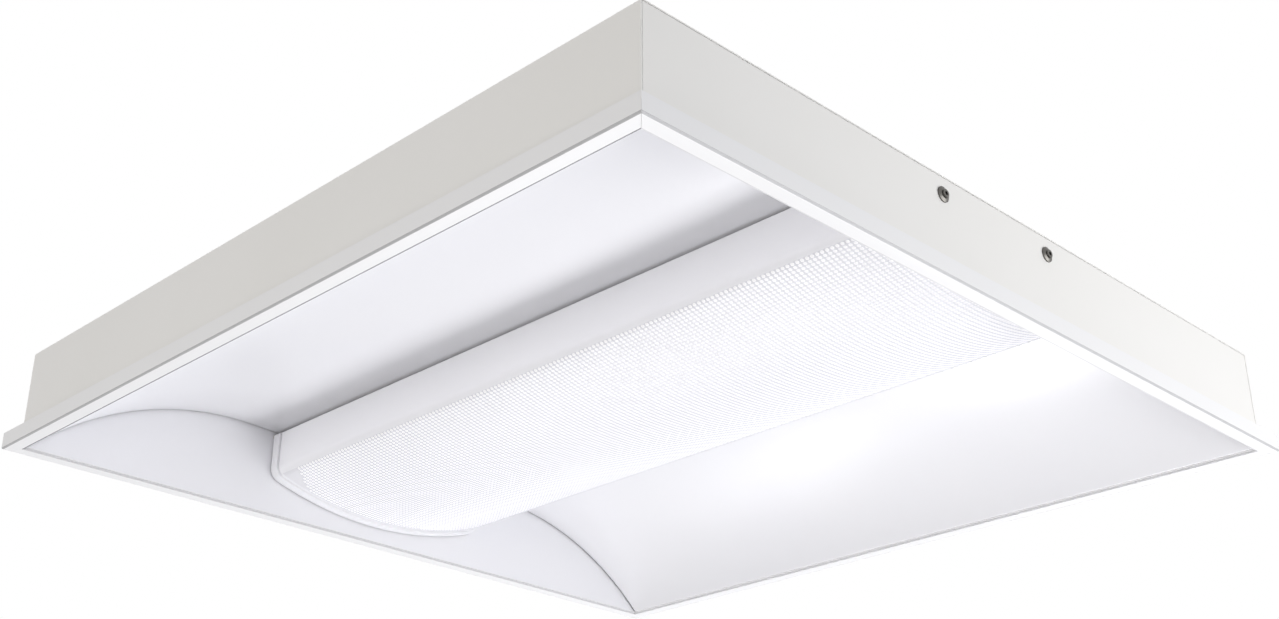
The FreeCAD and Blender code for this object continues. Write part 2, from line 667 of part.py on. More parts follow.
def make_gear_tray():
    """The flat plate across the housing that carries the light engine, folded down at its ends."""
    body = new_body("gear_tray")
    sketch = new_sketch(body, "XY", TRAY_UNDER)
    add_outline(
        sketch, box_corners(f"-{WALL_INSIDE}", WALL_INSIDE, f"-{TRAY_HALF}", TRAY_HALF)
    )
    pad(body, sketch, "tray_sheet")
    for low in (f"-{WALL_INSIDE}", f"{WALL_INSIDE} - tray_sheet"):
        flange = new_sketch(body, "YZ", low)
        add_outline(
            flange,
            box_corners(
                "-tray_flange_width / 2",
                "tray_flange_width / 2",
                f"{TRAY_UNDER} - tray_flange_drop",
                f"{TRAY_UNDER} + tray_sheet / 2",
            ),
        )
        pad(body, flange, "tray_sheet")
    holes = new_sketch(body, "XY")
    add_outline(
        holes,
        box_corners(
            OPENING_LOW,
            OPENING_HIGH,
            "-opening_width / 2",
            "opening_width / 2",
        ),
    )
    for across, up in REFLECTOR_RIVETS + BRACKET_RIVETS:
        add_circle(holes, across, up, "rivet_radius + hole_slack")
    for across, up in BOARD_SCREWS + EARTH_SCREW:
        add_circle(holes, across, up, "screw_radius + hole_slack")
    for across, up in DRIVER_SCREWS:
        add_circle(holes, across, up, "driver_screw_radius + hole_slack")
    pocket(body, holes)
    ends = new_sketch(body, "YZ")
    for across in TRAY_RIVETS:
        add_circle(ends, across, TRAY_RIVET_UP, "tray_rivet_radius + hole_slack")
    pocket(body, ends)


def make_tray_rivets():
    """Four steel blind rivets: ringed flange outside, hollow nose, upset tail inside."""
    body = new_body("tray_rivets")
    tail_end = f"({WALL_INSIDE} - tray_sheet - tray_rivet_tail_length)"
    head_end = f"({HOUSING} + tray_rivet_head_rise)"
    rise = TRAY_RIVET_UP
    profile = [
        (tail_end, f"{rise} + tray_rivet_bore"),
        (f"{head_end} + tray_rivet_nose", f"{rise} + tray_rivet_bore"),
        (f"{head_end} + tray_rivet_nose", f"{rise} + tray_rivet_radius"),
        (head_end, f"{rise} + tray_rivet_radius"),
        (head_end, f"{rise} + tray_rivet_collar"),
        (f"{HOUSING} + tray_rivet_head_rise / 2", f"{rise} + tray_rivet_head"),
        (HOUSING, f"{rise} + tray_rivet_head"),
        (HOUSING, f"{rise} + tray_rivet_radius"),
        (f"{WALL_INSIDE} - tray_sheet", f"{rise} + tray_rivet_radius"),
        (f"{WALL_INSIDE} - tray_sheet", f"{rise} + tray_rivet_tail"),
        (tail_end, f"{rise} + tray_rivet_tail"),
    ]
    for across in TRAY_RIVETS:
        for end in (1, -1):
            # The sketch plane's normal points to -Y, so a lift of -y sets the sketch at y.
            sketch = new_sketch(body, "XZ", f"-({across})")
            add_outline(sketch, [(f"{end} * ({along})", up) for along, up in profile])
            axis = sketch.addGeometry(
                Part.LineSegment(
                    FreeCAD.Vector(0, number(rise), 0), FreeCAD.Vector(end, number(rise), 0)
                ),
                True,
            )
            add_ties(sketch, point_ties(axis, 1, "0", rise) + point_ties(axis, 2, str(end), rise))
            turned = body.newObject("PartDesign::Revolution", "Revolution")
            turned.Profile = sketch
            turned.ReferenceAxis = (sketch, ["Axis0"])
            turned.Angle = 360
            sketch.Visibility = False
            doc.recompute()


# ---- light engine -----------------------------------------------------------------------------


def make_plate(label, along, across, low, high):
    """A rectangular piece between two heights."""
    body = new_body(label)
    sketch = new_sketch(body, "XY", low)
    add_outline(sketch, box_corners(*along, *across))
    pad(body, sketch, f"{high} - ({low})")
    return body


def make_led_board(label, side):
    """A long printed board screwed flat under the tray."""
    centre = f"{side}board_offset"
    body = make_plate(
        label,
        (f"-{BOARD_END}", BOARD_END),
        (f"{centre} - board_width / 2", f"{centre} + board_width / 2"),
        f"{TRAY_UNDER} - board_sheet",
        TRAY_UNDER,
    )
    holes = new_sketch(body, "XY")
    for along in BOARD_STATIONS:
        add_circle(holes, along, centre, "screw_radius + hole_slack")
    pocket(body, holes)


def make_led_packages():
    """All LED packages, as separate small blocks on the undersides of both boards."""
    body = new_body("led_packages")
    sketch = new_sketch(body, "XY", f"{TRAY_UNDER} - board_sheet - led_rise")
    for side in ("-", ""):
        add_outline(
            sketch,
            box_corners(
                f"-{LED_END} - led_side / 2",
                f"-{LED_END} + led_side / 2",
                f"{side}board_offset - led_side / 2",
                f"{side}board_offset + led_side / 2",
            ),
        )
    first_pair = pad(body, sketch, "led_rise")
    row = body.newObject("PartDesign::LinearPattern", "Row")
    row.Originals = [first_pair]
    row.Direction = (sketch, ["H_Axis"])
    bind(row, "Length", f"2 * {LED_END}")
    bind(row, "Occurrences", "led_count")
    body.Tip = row
    doc.recompute()


def make_board_connectors():
    """One plug housing at the left end of each board."""
    body = new_body("board_connectors")
    sketch = new_sketch(body, "XY", f"{TRAY_UNDER} - board_sheet - plug_rise")
    for side in ("-", ""):
        centre = f"{side}board_offset"
        add_outline(
            sketch,
            box_corners(
                f"-{BOARD_END} + seat_gap",
                f"-{BOARD_END} + seat_gap + plug_length",
                f"{centre} - plug_width / 2",
                f"{centre} + plug_width / 2",
            ),
        )
    pad(body, sketch, "plug_rise")


def make_driver():
    """The LED driver: a case on a base plate with ears, and a terminal housing at each end."""
    body = new_body("driver_case")
    base = new_sketch(body, "XY", BASE_UNDER)
    add_outline(
        base,
        box_corners(
            f"{DRIVER_LOW} - driver_ear",
            f"{DRIVER_HIGH} + driver_ear",
            "-driver_width / 2",
            "driver_width / 2",
        ),
    )
    pad(body, base, "driver_base_sheet")
    case = new_sketch(body, "XY", f"{TRAY_UNDER} - driver_rise")
    add_outline(
        case,
        box_corners(
            DRIVER_LOW,
            DRIVER_HIGH,
            "-driver_width / 2",
            "driver_width / 2",
        ),
    )
    pad(body, case, "driver_rise - driver_base_sheet")
    lower = f"{TRAY_UNDER} - driver_rise"
    long_edges = [("0", f"{side}driver_width / 2", lower) for side in ("-", "")]
    round_edges(body, ALONG_X, long_edges, "driver_edge")
    holes = new_sketch(body, "XY")
    for across, up in DRIVER_SCREWS:
        add_circle(holes, across, up, "driver_screw_radius + hole_slack")
    pocket(body, holes)

    plugs = new_body("driver_terminals")
    housings = new_sketch(plugs, "XY", f"{BASE_UNDER} - driver_plug_rise")
    for low, high in (
        (f"{DRIVER_LOW} - driver_plug_length", DRIVER_LOW),
        (DRIVER_HIGH, f"{DRIVER_HIGH} + driver_plug_length"),
    ):
        add_outline(
            housings, box_corners(low, high, "-driver_plug_width / 2", "driver_plug_width / 2")
        )
    pad(plugs, housings, "driver_plug_rise")
    supply = new_sketch(plugs, "YZ", f"{DRIVER_HIGH} + driver_plug_length")
    for across, up in SUPPLY_LEADS:
        add_circle(supply, across, up, "lead_radius + hole_slack")
    pocket(plugs, supply, "lead_entry")
    output = new_sketch(plugs, "YZ", f"{DRIVER_LOW} - driver_plug_length")
    for side in ("-", ""):
        add_circle(output, f"{side}led_lead_offset", LEAD_UP, "lead_radius + hole_slack")
    pocket(plugs, output, "lead_entry", forward=True)


# ---- supply terminal --------------------------------------------------------------------------


def make_terminal_bracket():
    """A folded bracket: flange under the tray, web down, shelf below the access opening."""
    body = new_body("terminal_bracket")
    sketch = new_sketch(body, "XZ")
    web_out = f"({BRACKET_WEB} + bracket_sheet)"
    add_outline(
        sketch,
        [
            (f"{BRACKET_WEB} + bracket_flange", TRAY_UNDER),
            (BRACKET_WEB, TRAY_UNDER),
            (BRACKET_WEB, SHELF_TOP),
            (f"{BRACKET_WEB} - bracket_shelf", SHELF_TOP),
            (f"{BRACKET_WEB} - bracket_shelf", f"{SHELF_TOP} - bracket_sheet"),
            (web_out, f"{SHELF_TOP} - bracket_sheet"),
            (web_out, f"{TRAY_UNDER} - bracket_sheet"),
            (f"{BRACKET_WEB} + bracket_flange", f"{TRAY_UNDER} - bracket_sheet"),
        ],
    )
    pad(body, sketch, "bracket_width", both_ways=True)
    bends = [(BRACKET_WEB, "0", TRAY_UNDER), (web_out, "0", f"{SHELF_TOP} - bracket_sheet")]
    round_edges(body, ALONG_Y, bends, "bracket_bend")
    holes = new_sketch(body, "XY", TRAY_UNDER)
    for across, up in BRACKET_RIVETS:
        add_circle(holes, across, up, "rivet_radius + hole_slack")
    pocket(body, holes, "bracket_sheet")


def make_terminal_block():
    """A three-pole push-in block with one sprung release button for each pole."""
    body = new_body("terminal_block")
    sketch = new_sketch(body, "XY", SHELF_TOP)
    add_outline(
        sketch,
        box_corners(
            BLOCK_FACE, f"{BLOCK_FACE} + block_depth", "-block_length / 2", "block_length / 2"
        ),
    )
    pad(body, sketch, "block_rise")
    corners = [
        (along, f"{side}block_length / 2", "0")
        for along in (BLOCK_FACE, f"{BLOCK_FACE} + block_depth")
        for side in ("-", "")
    ]
    round_edges(body, ALONG_Z, corners, "block_edge")
    wells = new_sketch(body, "XY", BLOCK_TOP)
    reach = "(button_side / 2 + button_slack)"
    for pole in POLES:
        centre = f"{pole} * lead_pitch"
        add_outline(
            wells,
            box_corners(
                f"{BLOCK_ALONG} - {reach}",
                f"{BLOCK_ALONG} + {reach}",
                f"{centre} - {reach}",
                f"{centre} + {reach}",
            ),
        )
    pocket(body, wells, "button_rise - button_proud + button_travel + button_slack")
    for face, forward in ((BLOCK_FACE, True), (f"{BLOCK_FACE} + block_depth", False)):
        entries = new_sketch(body, "YZ", face)
        for pole in POLES:
            across = f"{pole} * lead_pitch"
            add_circle(entries, across, LEAD_UP, "lead_radius + hole_slack")
        pocket(body, entries, "lead_entry", forward=forward)
    for pole, label in POLES.items():
        centre = f"{pole} * lead_pitch"
        make_plate(
            label,
            (f"{BLOCK_ALONG} - button_side / 2", f"{BLOCK_ALONG} + button_side / 2"),
            (f"{centre} - button_side / 2", f"{centre} + button_side / 2"),
            f"{BLOCK_TOP} + button_proud - button_rise",
            f"{BLOCK_TOP} + button_proud",
        )


def lead(points):
    """A round lead along straight runs joined by tangent arcs, each as wide as its runs allow."""
    places = [FreeCAD.Vector(*[number(value) for value in point]) for point in points]
    edges = []
    start = places[0]
    for before, corner, after in zip(places, places[1:], places[2:]):
        way_in = (corner - before).normalize()
        way_out = (after - corner).normalize()
        run = 0.45 * min((corner - before).Length, (after - corner).Length)
        bisector = (way_out - way_in).normalize()
        half_turn = way_in.getAngle(way_out) / 2
        radius = run / math.tan(half_turn)
        centre = corner + bisector * (radius / math.cos(half_turn))
        enter = corner - way_in * run
        leave = corner + way_out * run
        middle = centre - bisector * radius
        edges.append(Part.LineSegment(start, enter).toShape())
        edges.append(Part.Arc(enter, middle, leave).toShape())
        start = leave
    edges.append(Part.LineSegment(start, places[-1]).toShape())
    path = Part.Wire(edges)
    circle = Part.Circle(places[0], places[1] - places[0], number("lead_radius"))
    return path.makePipeShell([Part.Wire(circle.toShape())], True, False)


def make_leads():
    """Supply, earth and LED leads, which all run inside the basket's space."""
    end = f"{DRIVER_HIGH} + driver_plug_length"
    supply = new_body("supply_leads")
    sketch = new_sketch(supply, "YZ", f"{end} - lead_entry + seat_gap")
    for across, up in SUPPLY_LEADS:
        add_circle(sketch, across, up, "lead_radius")
    pad(supply, sketch, f"{BLOCK_FACE} - ({end}) + 2 * lead_entry - 2 * seat_gap")

    earth = doc.addObject("Part::Feature", "Lead_earth")
    earth.Label = "earth_lead"
    tag_under = f"{TRAY_UNDER} - earth_tag_sheet"
    tag_rim = "-earth_across + earth_tag_radius"
    earth.Shape = lead(
        [
            (f"{BLOCK_FACE} + lead_entry - seat_gap", "-lead_pitch", LEAD_UP),
            (f"{BLOCK_FACE} - 2 * lead_pitch", "-lead_pitch", LEAD_UP),
            (EARTH_ALONG, f"{tag_rim} + lead_pitch", f"{tag_under} - 2 * lead_entry / 3"),
            (EARTH_ALONG, tag_rim, f"{tag_under} - lead_radius"),
        ]
    )
    subparts.append(earth)

    led = doc.addObject("Part::Feature", "Lead_led")
    led.Label = "led_leads"
    start = f"({DRIVER_LOW} - driver_plug_length)"
    plug = f"(-{BOARD_END} + seat_gap + plug_length)"
    plug_level = f"{TRAY_UNDER} - board_sheet - plug_rise / 2"
    beside_leds = "(board_offset - led_side / 2 - lead_radius - 2 * seat_gap)"
    runs = []
    for side in ("-", ""):
        runs.append(
            lead(
                [
                    (f"{start} + lead_entry - seat_gap", f"{side}led_lead_offset", LEAD_UP),
                    (f"{start} - 2 * lead_pitch", f"{side}led_lead_offset", LEAD_UP),
                    (f"{plug} + lead_pitch", f"{side}{beside_leds}", plug_level),
                    (plug, f"{side}{beside_leds}", plug_level),
                ]
            )
        )
    led.Shape = Part.makeCompound(runs)
    subparts.append(led)


# ---- access cover -----------------------------------------------------------------------------


def make_cover_hinge_leaf():
    """The fixed leaf of the cover hinge, riveted to the pan, with the middle knuckle."""
    body = new_body("cover_hinge_leaf")
    sketch = new_sketch(body, "XY", "housing_rise")
    half = "knuckle_length / 2"
    add_outline(sketch, box_corners(f"{COVER_LOW} - leaf_length", COVER_LOW, f"-{half}", half))
    pad(body, sketch, "cover_sheet")
    knuckle = new_sketch(body, "XZ")
    add_circle(knuckle, COVER_LOW, KNUCKLE_UP, "knuckle_radius")
    pad(body, knuckle, "knuckle_length", both_ways=True)
    cut_knuckle(body)
    holes = new_sketch(body, "XY")
    for across, up in LEAF_RIVETS:
        add_circle(holes, across, up, "rivet_radius + hole_slack")
    pocket(body, holes)


def cut_knuckle(body):
    """The bore for the hinge pin."""
    bore = new_sketch(body, "XZ")
    add_circle(bore, COVER_LOW, KNUCKLE_UP, "hinge_wire_radius + running_gap")
    pocket(body, bore)


def make_access_cover():
    """The hinged plate over the access opening, with two knuckles and the knockout hole."""
    body = new_body("access_cover")
    half = "(opening_width / 2 + cover_overlap)"
    notch = "(knuckle_length / 2 + knuckle_gap)"
    notch_end = f"({COVER_LOW} + knuckle_radius + knuckle_gap)"
    outer = f"({notch} + knuckle_outer_length)"
    sketch = new_sketch(body, "XY", "housing_rise")
    add_outline(
        sketch,
        [
            (notch_end, f"-{half}"),
            (COVER_HIGH, f"-{half}"),
            (COVER_HIGH, half),
            (notch_end, half),
            (notch_end, outer),
            (COVER_LOW, outer),
            (COVER_LOW, notch),
            (notch_end, notch),
            (notch_end, f"-{notch}"),
            (COVER_LOW, f"-{notch}"),
            (COVER_LOW, f"-{outer}"),
            (notch_end, f"-{outer}"),
        ],
    )
    pad(body, sketch, "cover_sheet")
    for low in (f"-{outer}", notch):
        # The sketch plane's normal points to -Y, so a knuckle starts at its far end.
        knuckle = new_sketch(body, "XZ", f"-({low} + knuckle_outer_length)")
        add_circle(knuckle, COVER_LOW, KNUCKLE_UP, "knuckle_radius")
        pad(body, knuckle, "knuckle_outer_length")
    cut_knuckle(body)
    holes = new_sketch(body, "XY")
    add_circle(holes, BUSH_ALONG, "0", "bush_hole")
    add_circle(holes, COVER_SCREW[0][0], COVER_SCREW[0][1], "screw_radius + hole_slack")
    pocket(body, holes)


def make_cover_hinge_pin():
    """The wire pin through the three knuckles."""
    body = new_body("cover_hinge_pin")
    sketch = new_sketch(body, "XZ")
    add_circle(sketch, COVER_LOW, KNUCKLE_UP, "hinge_wire_radius")
    pad(
        body,
        sketch,
        "knuckle_length + 2 * knuckle_gap + 2 * knuckle_outer_length",
        both_ways=True,
    )


def make_cable_bush():
    """A snap-in nylon bush: flange on the cover, snap ring below it, clear bore."""
    body = new_body("cable_bush")
    levels = (
        ("bush_body", f"{COVER_TOP} - cover_sheet - bush_drop", COVER_TOP),
        ("bush_flange", COVER_TOP, f"{COVER_TOP} + bush_flange_rise"),
        (
            "bush_body + bush_barb",
            "housing_rise - seat_gap - 2 * bush_barb",
            "housing_rise - seat_gap",
        ),
    )
    for radius, low, high in levels:
        sketch = new_sketch(body, "XY", low)
        add_circle(sketch, BUSH_ALONG, "0", radius)
        pad(body, sketch, f"{high} - ({low})")
    bore = new_sketch(body, "XY")
    add_circle(bore, BUSH_ALONG, "0", "bush_bore")
    pocket(body, bore)


# ---- hanger brackets --------------------------------------------------------------------------


def make_hanger_brackets():
    """Four bridge straps on the pan, each with a hole for a hanger wire or rod."""
    body = new_body("hanger_brackets")
    floor = "housing_rise"
    deck = "(housing_rise + hanger_rise)"
    for side in ("-", ""):
        lift = f"-({side}hanger_across / 2) - hanger_width / 2"
        sketch = new_sketch(body, "XZ", lift)
        for end in ("-", ""):
            middle = f"{end}{HANGER_ALONG}"
            reach = "hanger_length / 2"
            step = "(hanger_length / 2 - hanger_foot)"
            add_outline(
                sketch,
                [
                    (f"{middle} - {reach}", floor),
                    (f"{middle} - {step}", floor),
                    (f"{middle} - {step}", deck),
                    (f"{middle} + {step}", deck),
                    (f"{middle} + {step}", floor),
                    (f"{middle} + {reach}", floor),
                    (f"{middle} + {reach}", f"{floor} + hanger_sheet"),
                    (f"{middle} + {step} + hanger_sheet", f"{floor} + hanger_sheet"),
                    (f"{middle} + {step} + hanger_sheet", f"{deck} + hanger_sheet"),
                    (f"{middle} - {step} - hanger_sheet", f"{deck} + hanger_sheet"),
                    (f"{middle} - {step} - hanger_sheet", f"{floor} + hanger_sheet"),
                    (f"{middle} - {reach}", f"{floor} + hanger_sheet"),
                ],
            )
        pad(body, sketch, "hanger_width")
    holes = new_sketch(body, "XY")
    for across, up in HANGERS:
        add_circle(holes, across, up, "hanger_hole")
    for across, up in HANGER_RIVETS:
        add_circle(holes, across, up, "rivet_radius + hole_slack")
    pocket(body, holes)


# ---- basket -----------------------------------------------------------------------------------


def trough(offset, top):
    """The basket's section from the front wall's top round to the back wall's top.

    offset moves the whole line outwards. Returns the corners and the arcs between them.
    """
    reach = f"(lens_radius + {offset})"
    across = f"({CORNER_ACROSS} * {reach} / (lens_radius - basket_corner))"
    up = f"({LENS_AXIS} - ({LENS_AXIS} - {CORNER_UP}) * {reach} / (lens_radius - basket_corner))"
    side = f"(basket_width / 2 + {offset})"
    corners = [
        (f"-{side}", top),
        (f"-{side}", CORNER_UP),
        (f"-{across}", up),
        (across, up),
        (side, CORNER_UP),
        (side, top),
    ]
    small = f"(basket_corner + {offset})"
    return corners, {1: (small, 1), 2: (reach, 1), 3: (small, 1)}


def make_basket_shell():
    """The folded trough of perforated sheet, with a flange turned in along each wall's top."""
    body = new_body("basket_shell")
    outer, outer_arcs = trough("0", BASKET_TOP)
    inner, inner_arcs = trough("-basket_sheet", f"{BASKET_TOP} - basket_sheet")
    lip = "(basket_width / 2 - basket_return)"
    inner.reverse()
    corners = outer + [(lip, BASKET_TOP), (lip, f"{BASKET_TOP} - basket_sheet")] + inner
    corners += [(f"-{lip}", f"{BASKET_TOP} - basket_sheet"), (f"-{lip}", BASKET_TOP)]
    arcs = dict(outer_arcs)
    first = len(outer) + 2
    for place, (radius, side) in inner_arcs.items():
        arcs[first + len(inner) - 2 - place] = (radius, -side)
    sketch = new_sketch(body, "YZ")
    add_outline(sketch, corners, arcs)
    pad(body, sketch, f"2 * {SHEET_END}", both_ways=True)
    holes = new_sketch(body, "XY", BASKET_TOP)
    for across, up in CAP_SCREWS:
        add_circle(holes, across, up, "cap_screw_radius + hole_slack")
    pocket(body, holes, "basket_return")


def make_diffuser_inlay():
    """The opal sheet that lies on the perforated lens, turned up round both corners."""
    body = new_body("diffuser_inlay")
    outer, outer_arcs = trough("-(basket_sheet + inlay_gap)", INLAY_TOP)
    inner, inner_arcs = trough("-(basket_sheet + inlay_gap + inlay_sheet)", INLAY_TOP)
    inner.reverse()
    arcs = dict(outer_arcs)
    for place, (radius, side) in inner_arcs.items():
        arcs[len(outer) + len(inner) - 2 - place] = (radius, -side)
    sketch = new_sketch(body, "YZ")
    add_outline(sketch, outer + inner, arcs)
    pad(body, sketch, f"2 * ({WEB_IN} - inlay_end_gap)", both_ways=True)


def make_inlay_clips():
    """Four spring clips on the walls, each hooked over the inlay's turned-up edge."""
    body = new_body("inlay_clips")
    wall = "(basket_width / 2 - basket_sheet)"
    face = f"({wall} - inlay_gap - inlay_sheet - clip_gap)"
    low = f"({INLAY_TOP} + clip_gap)"
    for end in ("-", ""):
        sketch = new_sketch(body, "YZ", f"{end}clip_spacing / 2 - clip_length / 2")
        for side in ("-", ""):
            add_outline(
                sketch,
                [
                    (f"{side}{wall}", f"{low} + clip_rise"),
                    (f"{side}{wall}", low),
                    (f"{side}{face}", low),
                    (f"{side}{face}", f"{INLAY_TOP} - clip_reach"),
                    (f"{side}({face} - clip_sheet)", f"{INLAY_TOP} - clip_reach"),
                    (f"{side}({face} - clip_sheet)", f"{low} + clip_sheet"),
                    (f"{side}({wall} - clip_sheet)", f"{low} + clip_sheet"),
                    (f"{side}({wall} - clip_sheet)", f"{low} + clip_rise"),
                ],
            )
        pad(body, sketch, "clip_length")


def make_end_cap(label, side):
    """A pressed cap: the band outside the sheet, the end wall, two screw bosses, the pin's seat."""
    body = new_body(label)
    outline, arcs = trough("cap_proud", HINGE_UP)
    outline += [("basket_width / 2", BASKET_TOP), ("-basket_width / 2", BASKET_TOP)]
    arcs[5] = ("cap_proud", 1)
    arcs[7] = ("cap_proud", 1)
    sketch = new_sketch(body, "YZ", CAP_IN if side > 0 else f"-{CAP_OUT}")
    add_outline(sketch, outline, arcs)
    pad(body, sketch, "cap_reach")
    hollow, hollow_arcs = trough("cap_clear", f"{BASKET_TOP} + cap_proud")
    mouth = new_sketch(body, "YZ", f"{side} * {CAP_IN}")
    add_outline(mouth, hollow, hollow_arcs)
    pocket(body, mouth, "cap_reach - cap_web", forward=side > 0)
    bosses = new_sketch(body, "YZ", f"{CAP_IN}" if side > 0 else f"-{WEB_IN}")
    boss_top = f"({BASKET_TOP} - basket_sheet - cap_clear)"
    for across in (f"-{CAP_SCREW_LINE}", CAP_SCREW_LINE):
        add_outline(
            bosses,
            box_corners(
                f"{across} - cap_boss_width / 2",
                f"{across} + cap_boss_width / 2",
                f"{boss_top} - cap_boss_rise",
                boss_top,
            ),
        )
    pad(body, bosses, "cap_reach - cap_web")
    screws = new_sketch(body, "XY", boss_top)
    for along, across in CAP_SCREWS:
        if number(along) * side > 0:
            add_circle(screws, along, across, "cap_screw_radius")
    pocket(body, screws, "cap_screw_length")
    pin_seat = new_sketch(body, "YZ", f"{side} * {CAP_OUT}")
    add_circle(pin_seat, HINGE_ACROSS, HINGE_UP, "hinge_pin_radius")
    pocket(body, pin_seat, "hinge_pin_seat", forward=side < 0)


def make_basket_hinge():
    """Pins pressed into the end caps, and the flanged bushes they turn in."""
    pins = new_body("hinge_pins")
    bushes = new_body("hinge_bushes")
    pin_low = f"({CAP_OUT} - hinge_pin_seat)"
    for side in (1, -1):
        low = pin_low if side > 0 else f"-({pin_low} + hinge_pin_length)"
        sketch = new_sketch(pins, "YZ", low)
        add_circle(sketch, HINGE_ACROSS, HINGE_UP, "hinge_pin_radius")
        pad(pins, sketch, "hinge_pin_length")
        discs = (
            ("hinge_bush_radius", PLATE_IN, f"({PLATE_OUT} + hinge_bush_flange_rise)"),
            ("hinge_bush_flange", PLATE_OUT, f"({PLATE_OUT} + hinge_bush_flange_rise)"),
        )
        for radius, start, stop in discs:
            disc = new_sketch(bushes, "YZ", start if side > 0 else f"-{stop}")
            add_circle(disc, HINGE_ACROSS, HINGE_UP, radius)
            pad(bushes, disc, f"{stop} - {start}")
    bore = new_sketch(bushes, "YZ")
    add_circle(bore, HINGE_ACROSS, HINGE_UP, "hinge_pin_radius + running_gap")
    pocket(bushes, bore)


def make_catch_magnets():
    """Two magnets under the back reflector's flange, just above the basket's own flange."""
    body = new_body("catch_magnets")
    sketch = new_sketch(body, "XY", f"{BASKET_TOP} + catch_gap")
    for side in ("-", ""):
        centre = f"{side}magnet_spacing / 2"
        add_outline(
            sketch,
            box_corners(
                f"{centre} - magnet_length / 2",
                f"{centre} + magnet_length / 2",
                f"{RIVET_LINE} - magnet_width / 2",
                f"{RIVET_LINE} + magnet_width / 2",
            ),
        )
    pad(body, sketch, "magnet_rise")


# ---- places of the fasteners ------------------------------------------------------------------

REFLECTOR_STATIONS = ["-reflector_rivet_spacing", "0", "reflector_rivet_spacing"]
REFLECTOR_RIVETS = [
    (along, f"{side}{RIVET_LINE}") for along in REFLECTOR_STATIONS for side in ("-", "")
]
BOARD_STATIONS = [f"{step} * board_screw_step * {LED_PITCH}" for step in (-1, 0, 1)]
BOARD_SCREWS = [(along, f"{side}board_offset") for along in BOARD_STATIONS for side in ("-", "")]
BRACKET_RIVETS = [
    (f"{BRACKET_WEB} + bracket_flange / 2 + bracket_sheet / 2", f"{side}bracket_width / 4")
    for side in ("-", "")
]
DRIVER_SCREWS = [
    (f"{DRIVER_LOW} - driver_ear + driver_screw_inset", "0"),
    (f"{DRIVER_HIGH} + driver_ear - driver_screw_inset", "0"),
]
EARTH_SCREW = [(EARTH_ALONG, "-earth_across")]
COVER_SCREW = [(f"{COVER_HIGH} - cover_screw_inset", "0")]
LEAF_RIVETS = [
    (f"{COVER_LOW} - leaf_length / 2 - knuckle_radius", f"{side}knuckle_length / 4")
    for side in ("-", "")
]
HANGERS = mirrored_pairs(f"(2 * {HANGER_ALONG})", "hanger_across / 2")
HANGER_RIVETS = [
    (f"{along} {sign} (hanger_length / 2 - hanger_foot / 2)", across)
    for along, across in HANGERS
    for sign in ("-", "+")
]
CAP_SCREW_LINE = "(basket_width / 2 - basket_sheet - cap_clear - cap_boss_width / 2)"
CAP_SCREW_ALONG = f"({WEB_IN} + {CAP_IN})"
CAP_SCREWS = mirrored_pairs(CAP_SCREW_ALONG, CAP_SCREW_LINE)
POLES = {-1: "release_button_earth", 0: "release_button_neutral", 1: "release_button_line"}
SUPPLY_LEADS = [("0", LEAD_UP), ("lead_pitch", LEAD_UP)]


def make_fasteners():
    """Every group of like rivets or screws, one sub-part for each group."""
    over_tray = f"({TRAY_TOP} + rivet_tail)"
    under_pan = f"({PAN_UNDER} - rivet_tail)"
    flange_under = f"({TRAY_UNDER} - reflector_sheet)"
    board_under = f"({TRAY_UNDER} - board_sheet)"
    bracket_under = f"({TRAY_UNDER} - bracket_sheet)"
    tag_under = f"({TRAY_UNDER} - earth_tag_sheet)"
    foot_top = "(housing_rise + hanger_sheet)"
    rivet_up = "rivet_head_rise"
    groups = (
        ("reflector_rivets", REFLECTOR_RIVETS, "rivet_radius", flange_under, over_tray,
         "rivet_head", f"({flange_under} - {rivet_up})", flange_under),
        ("bracket_rivets", BRACKET_RIVETS, "rivet_radius", bracket_under, over_tray,
         "rivet_head", f"({bracket_under} - {rivet_up})", bracket_under),
        ("board_screws", BOARD_SCREWS, "screw_radius", board_under, over_tray,
         "screw_head", f"({board_under} - screw_head_rise)", board_under),
        ("driver_screws", DRIVER_SCREWS, "driver_screw_radius", BASE_UNDER, over_tray,
         "driver_screw_head", f"({BASE_UNDER} - screw_head_rise)", BASE_UNDER),
        ("earth_screw", EARTH_SCREW, "screw_radius", tag_under, over_tray,
         "screw_head", f"({tag_under} - screw_head_rise)", tag_under),
        ("leaf_rivets", LEAF_RIVETS, "rivet_radius", under_pan, COVER_TOP,
         "rivet_head", COVER_TOP, f"({COVER_TOP} + {rivet_up})"),
        ("hanger_rivets", HANGER_RIVETS, "rivet_radius", under_pan, foot_top,
         "rivet_head", foot_top, f"({foot_top} + {rivet_up})"),
        ("cover_screw", COVER_SCREW, "screw_radius", f"({PAN_UNDER} - cover_screw_tail)",
         COVER_TOP, "screw_head", COVER_TOP, f"({COVER_TOP} + screw_head_rise)"),
        ("cap_screws", CAP_SCREWS, "cap_screw_radius",
         f"({BASKET_TOP} - basket_sheet - cap_screw_length)", BASKET_TOP,
         "cap_screw_head", BASKET_TOP, f"({BASKET_TOP} + cap_screw_head_rise)"),
    )
    for label, places, shank, shank_low, shank_high, head, head_low, head_high in groups:
        discs = ((shank, shank_low, shank_high), (head, head_low, head_high))
        stacked_discs(label, "XY", places, discs)


def make_earth_tag():
    """The ring tag of the earth lead, clamped under its screw."""
    body = new_body("earth_tag")
    sketch = new_sketch(body, "XY", f"{TRAY_UNDER} - earth_tag_sheet")
    add_circle(sketch, EARTH_ALONG, "-earth_across", "earth_tag_radius")
    pad(body, sketch, "earth_tag_sheet")
    hole = new_sketch(body, "XY")
    add_circle(hole, EARTH_ALONG, "-earth_across", "screw_radius + hole_slack")
    pocket(body, hole)


# ---- the whole luminaire ----------------------------------------------------------------------

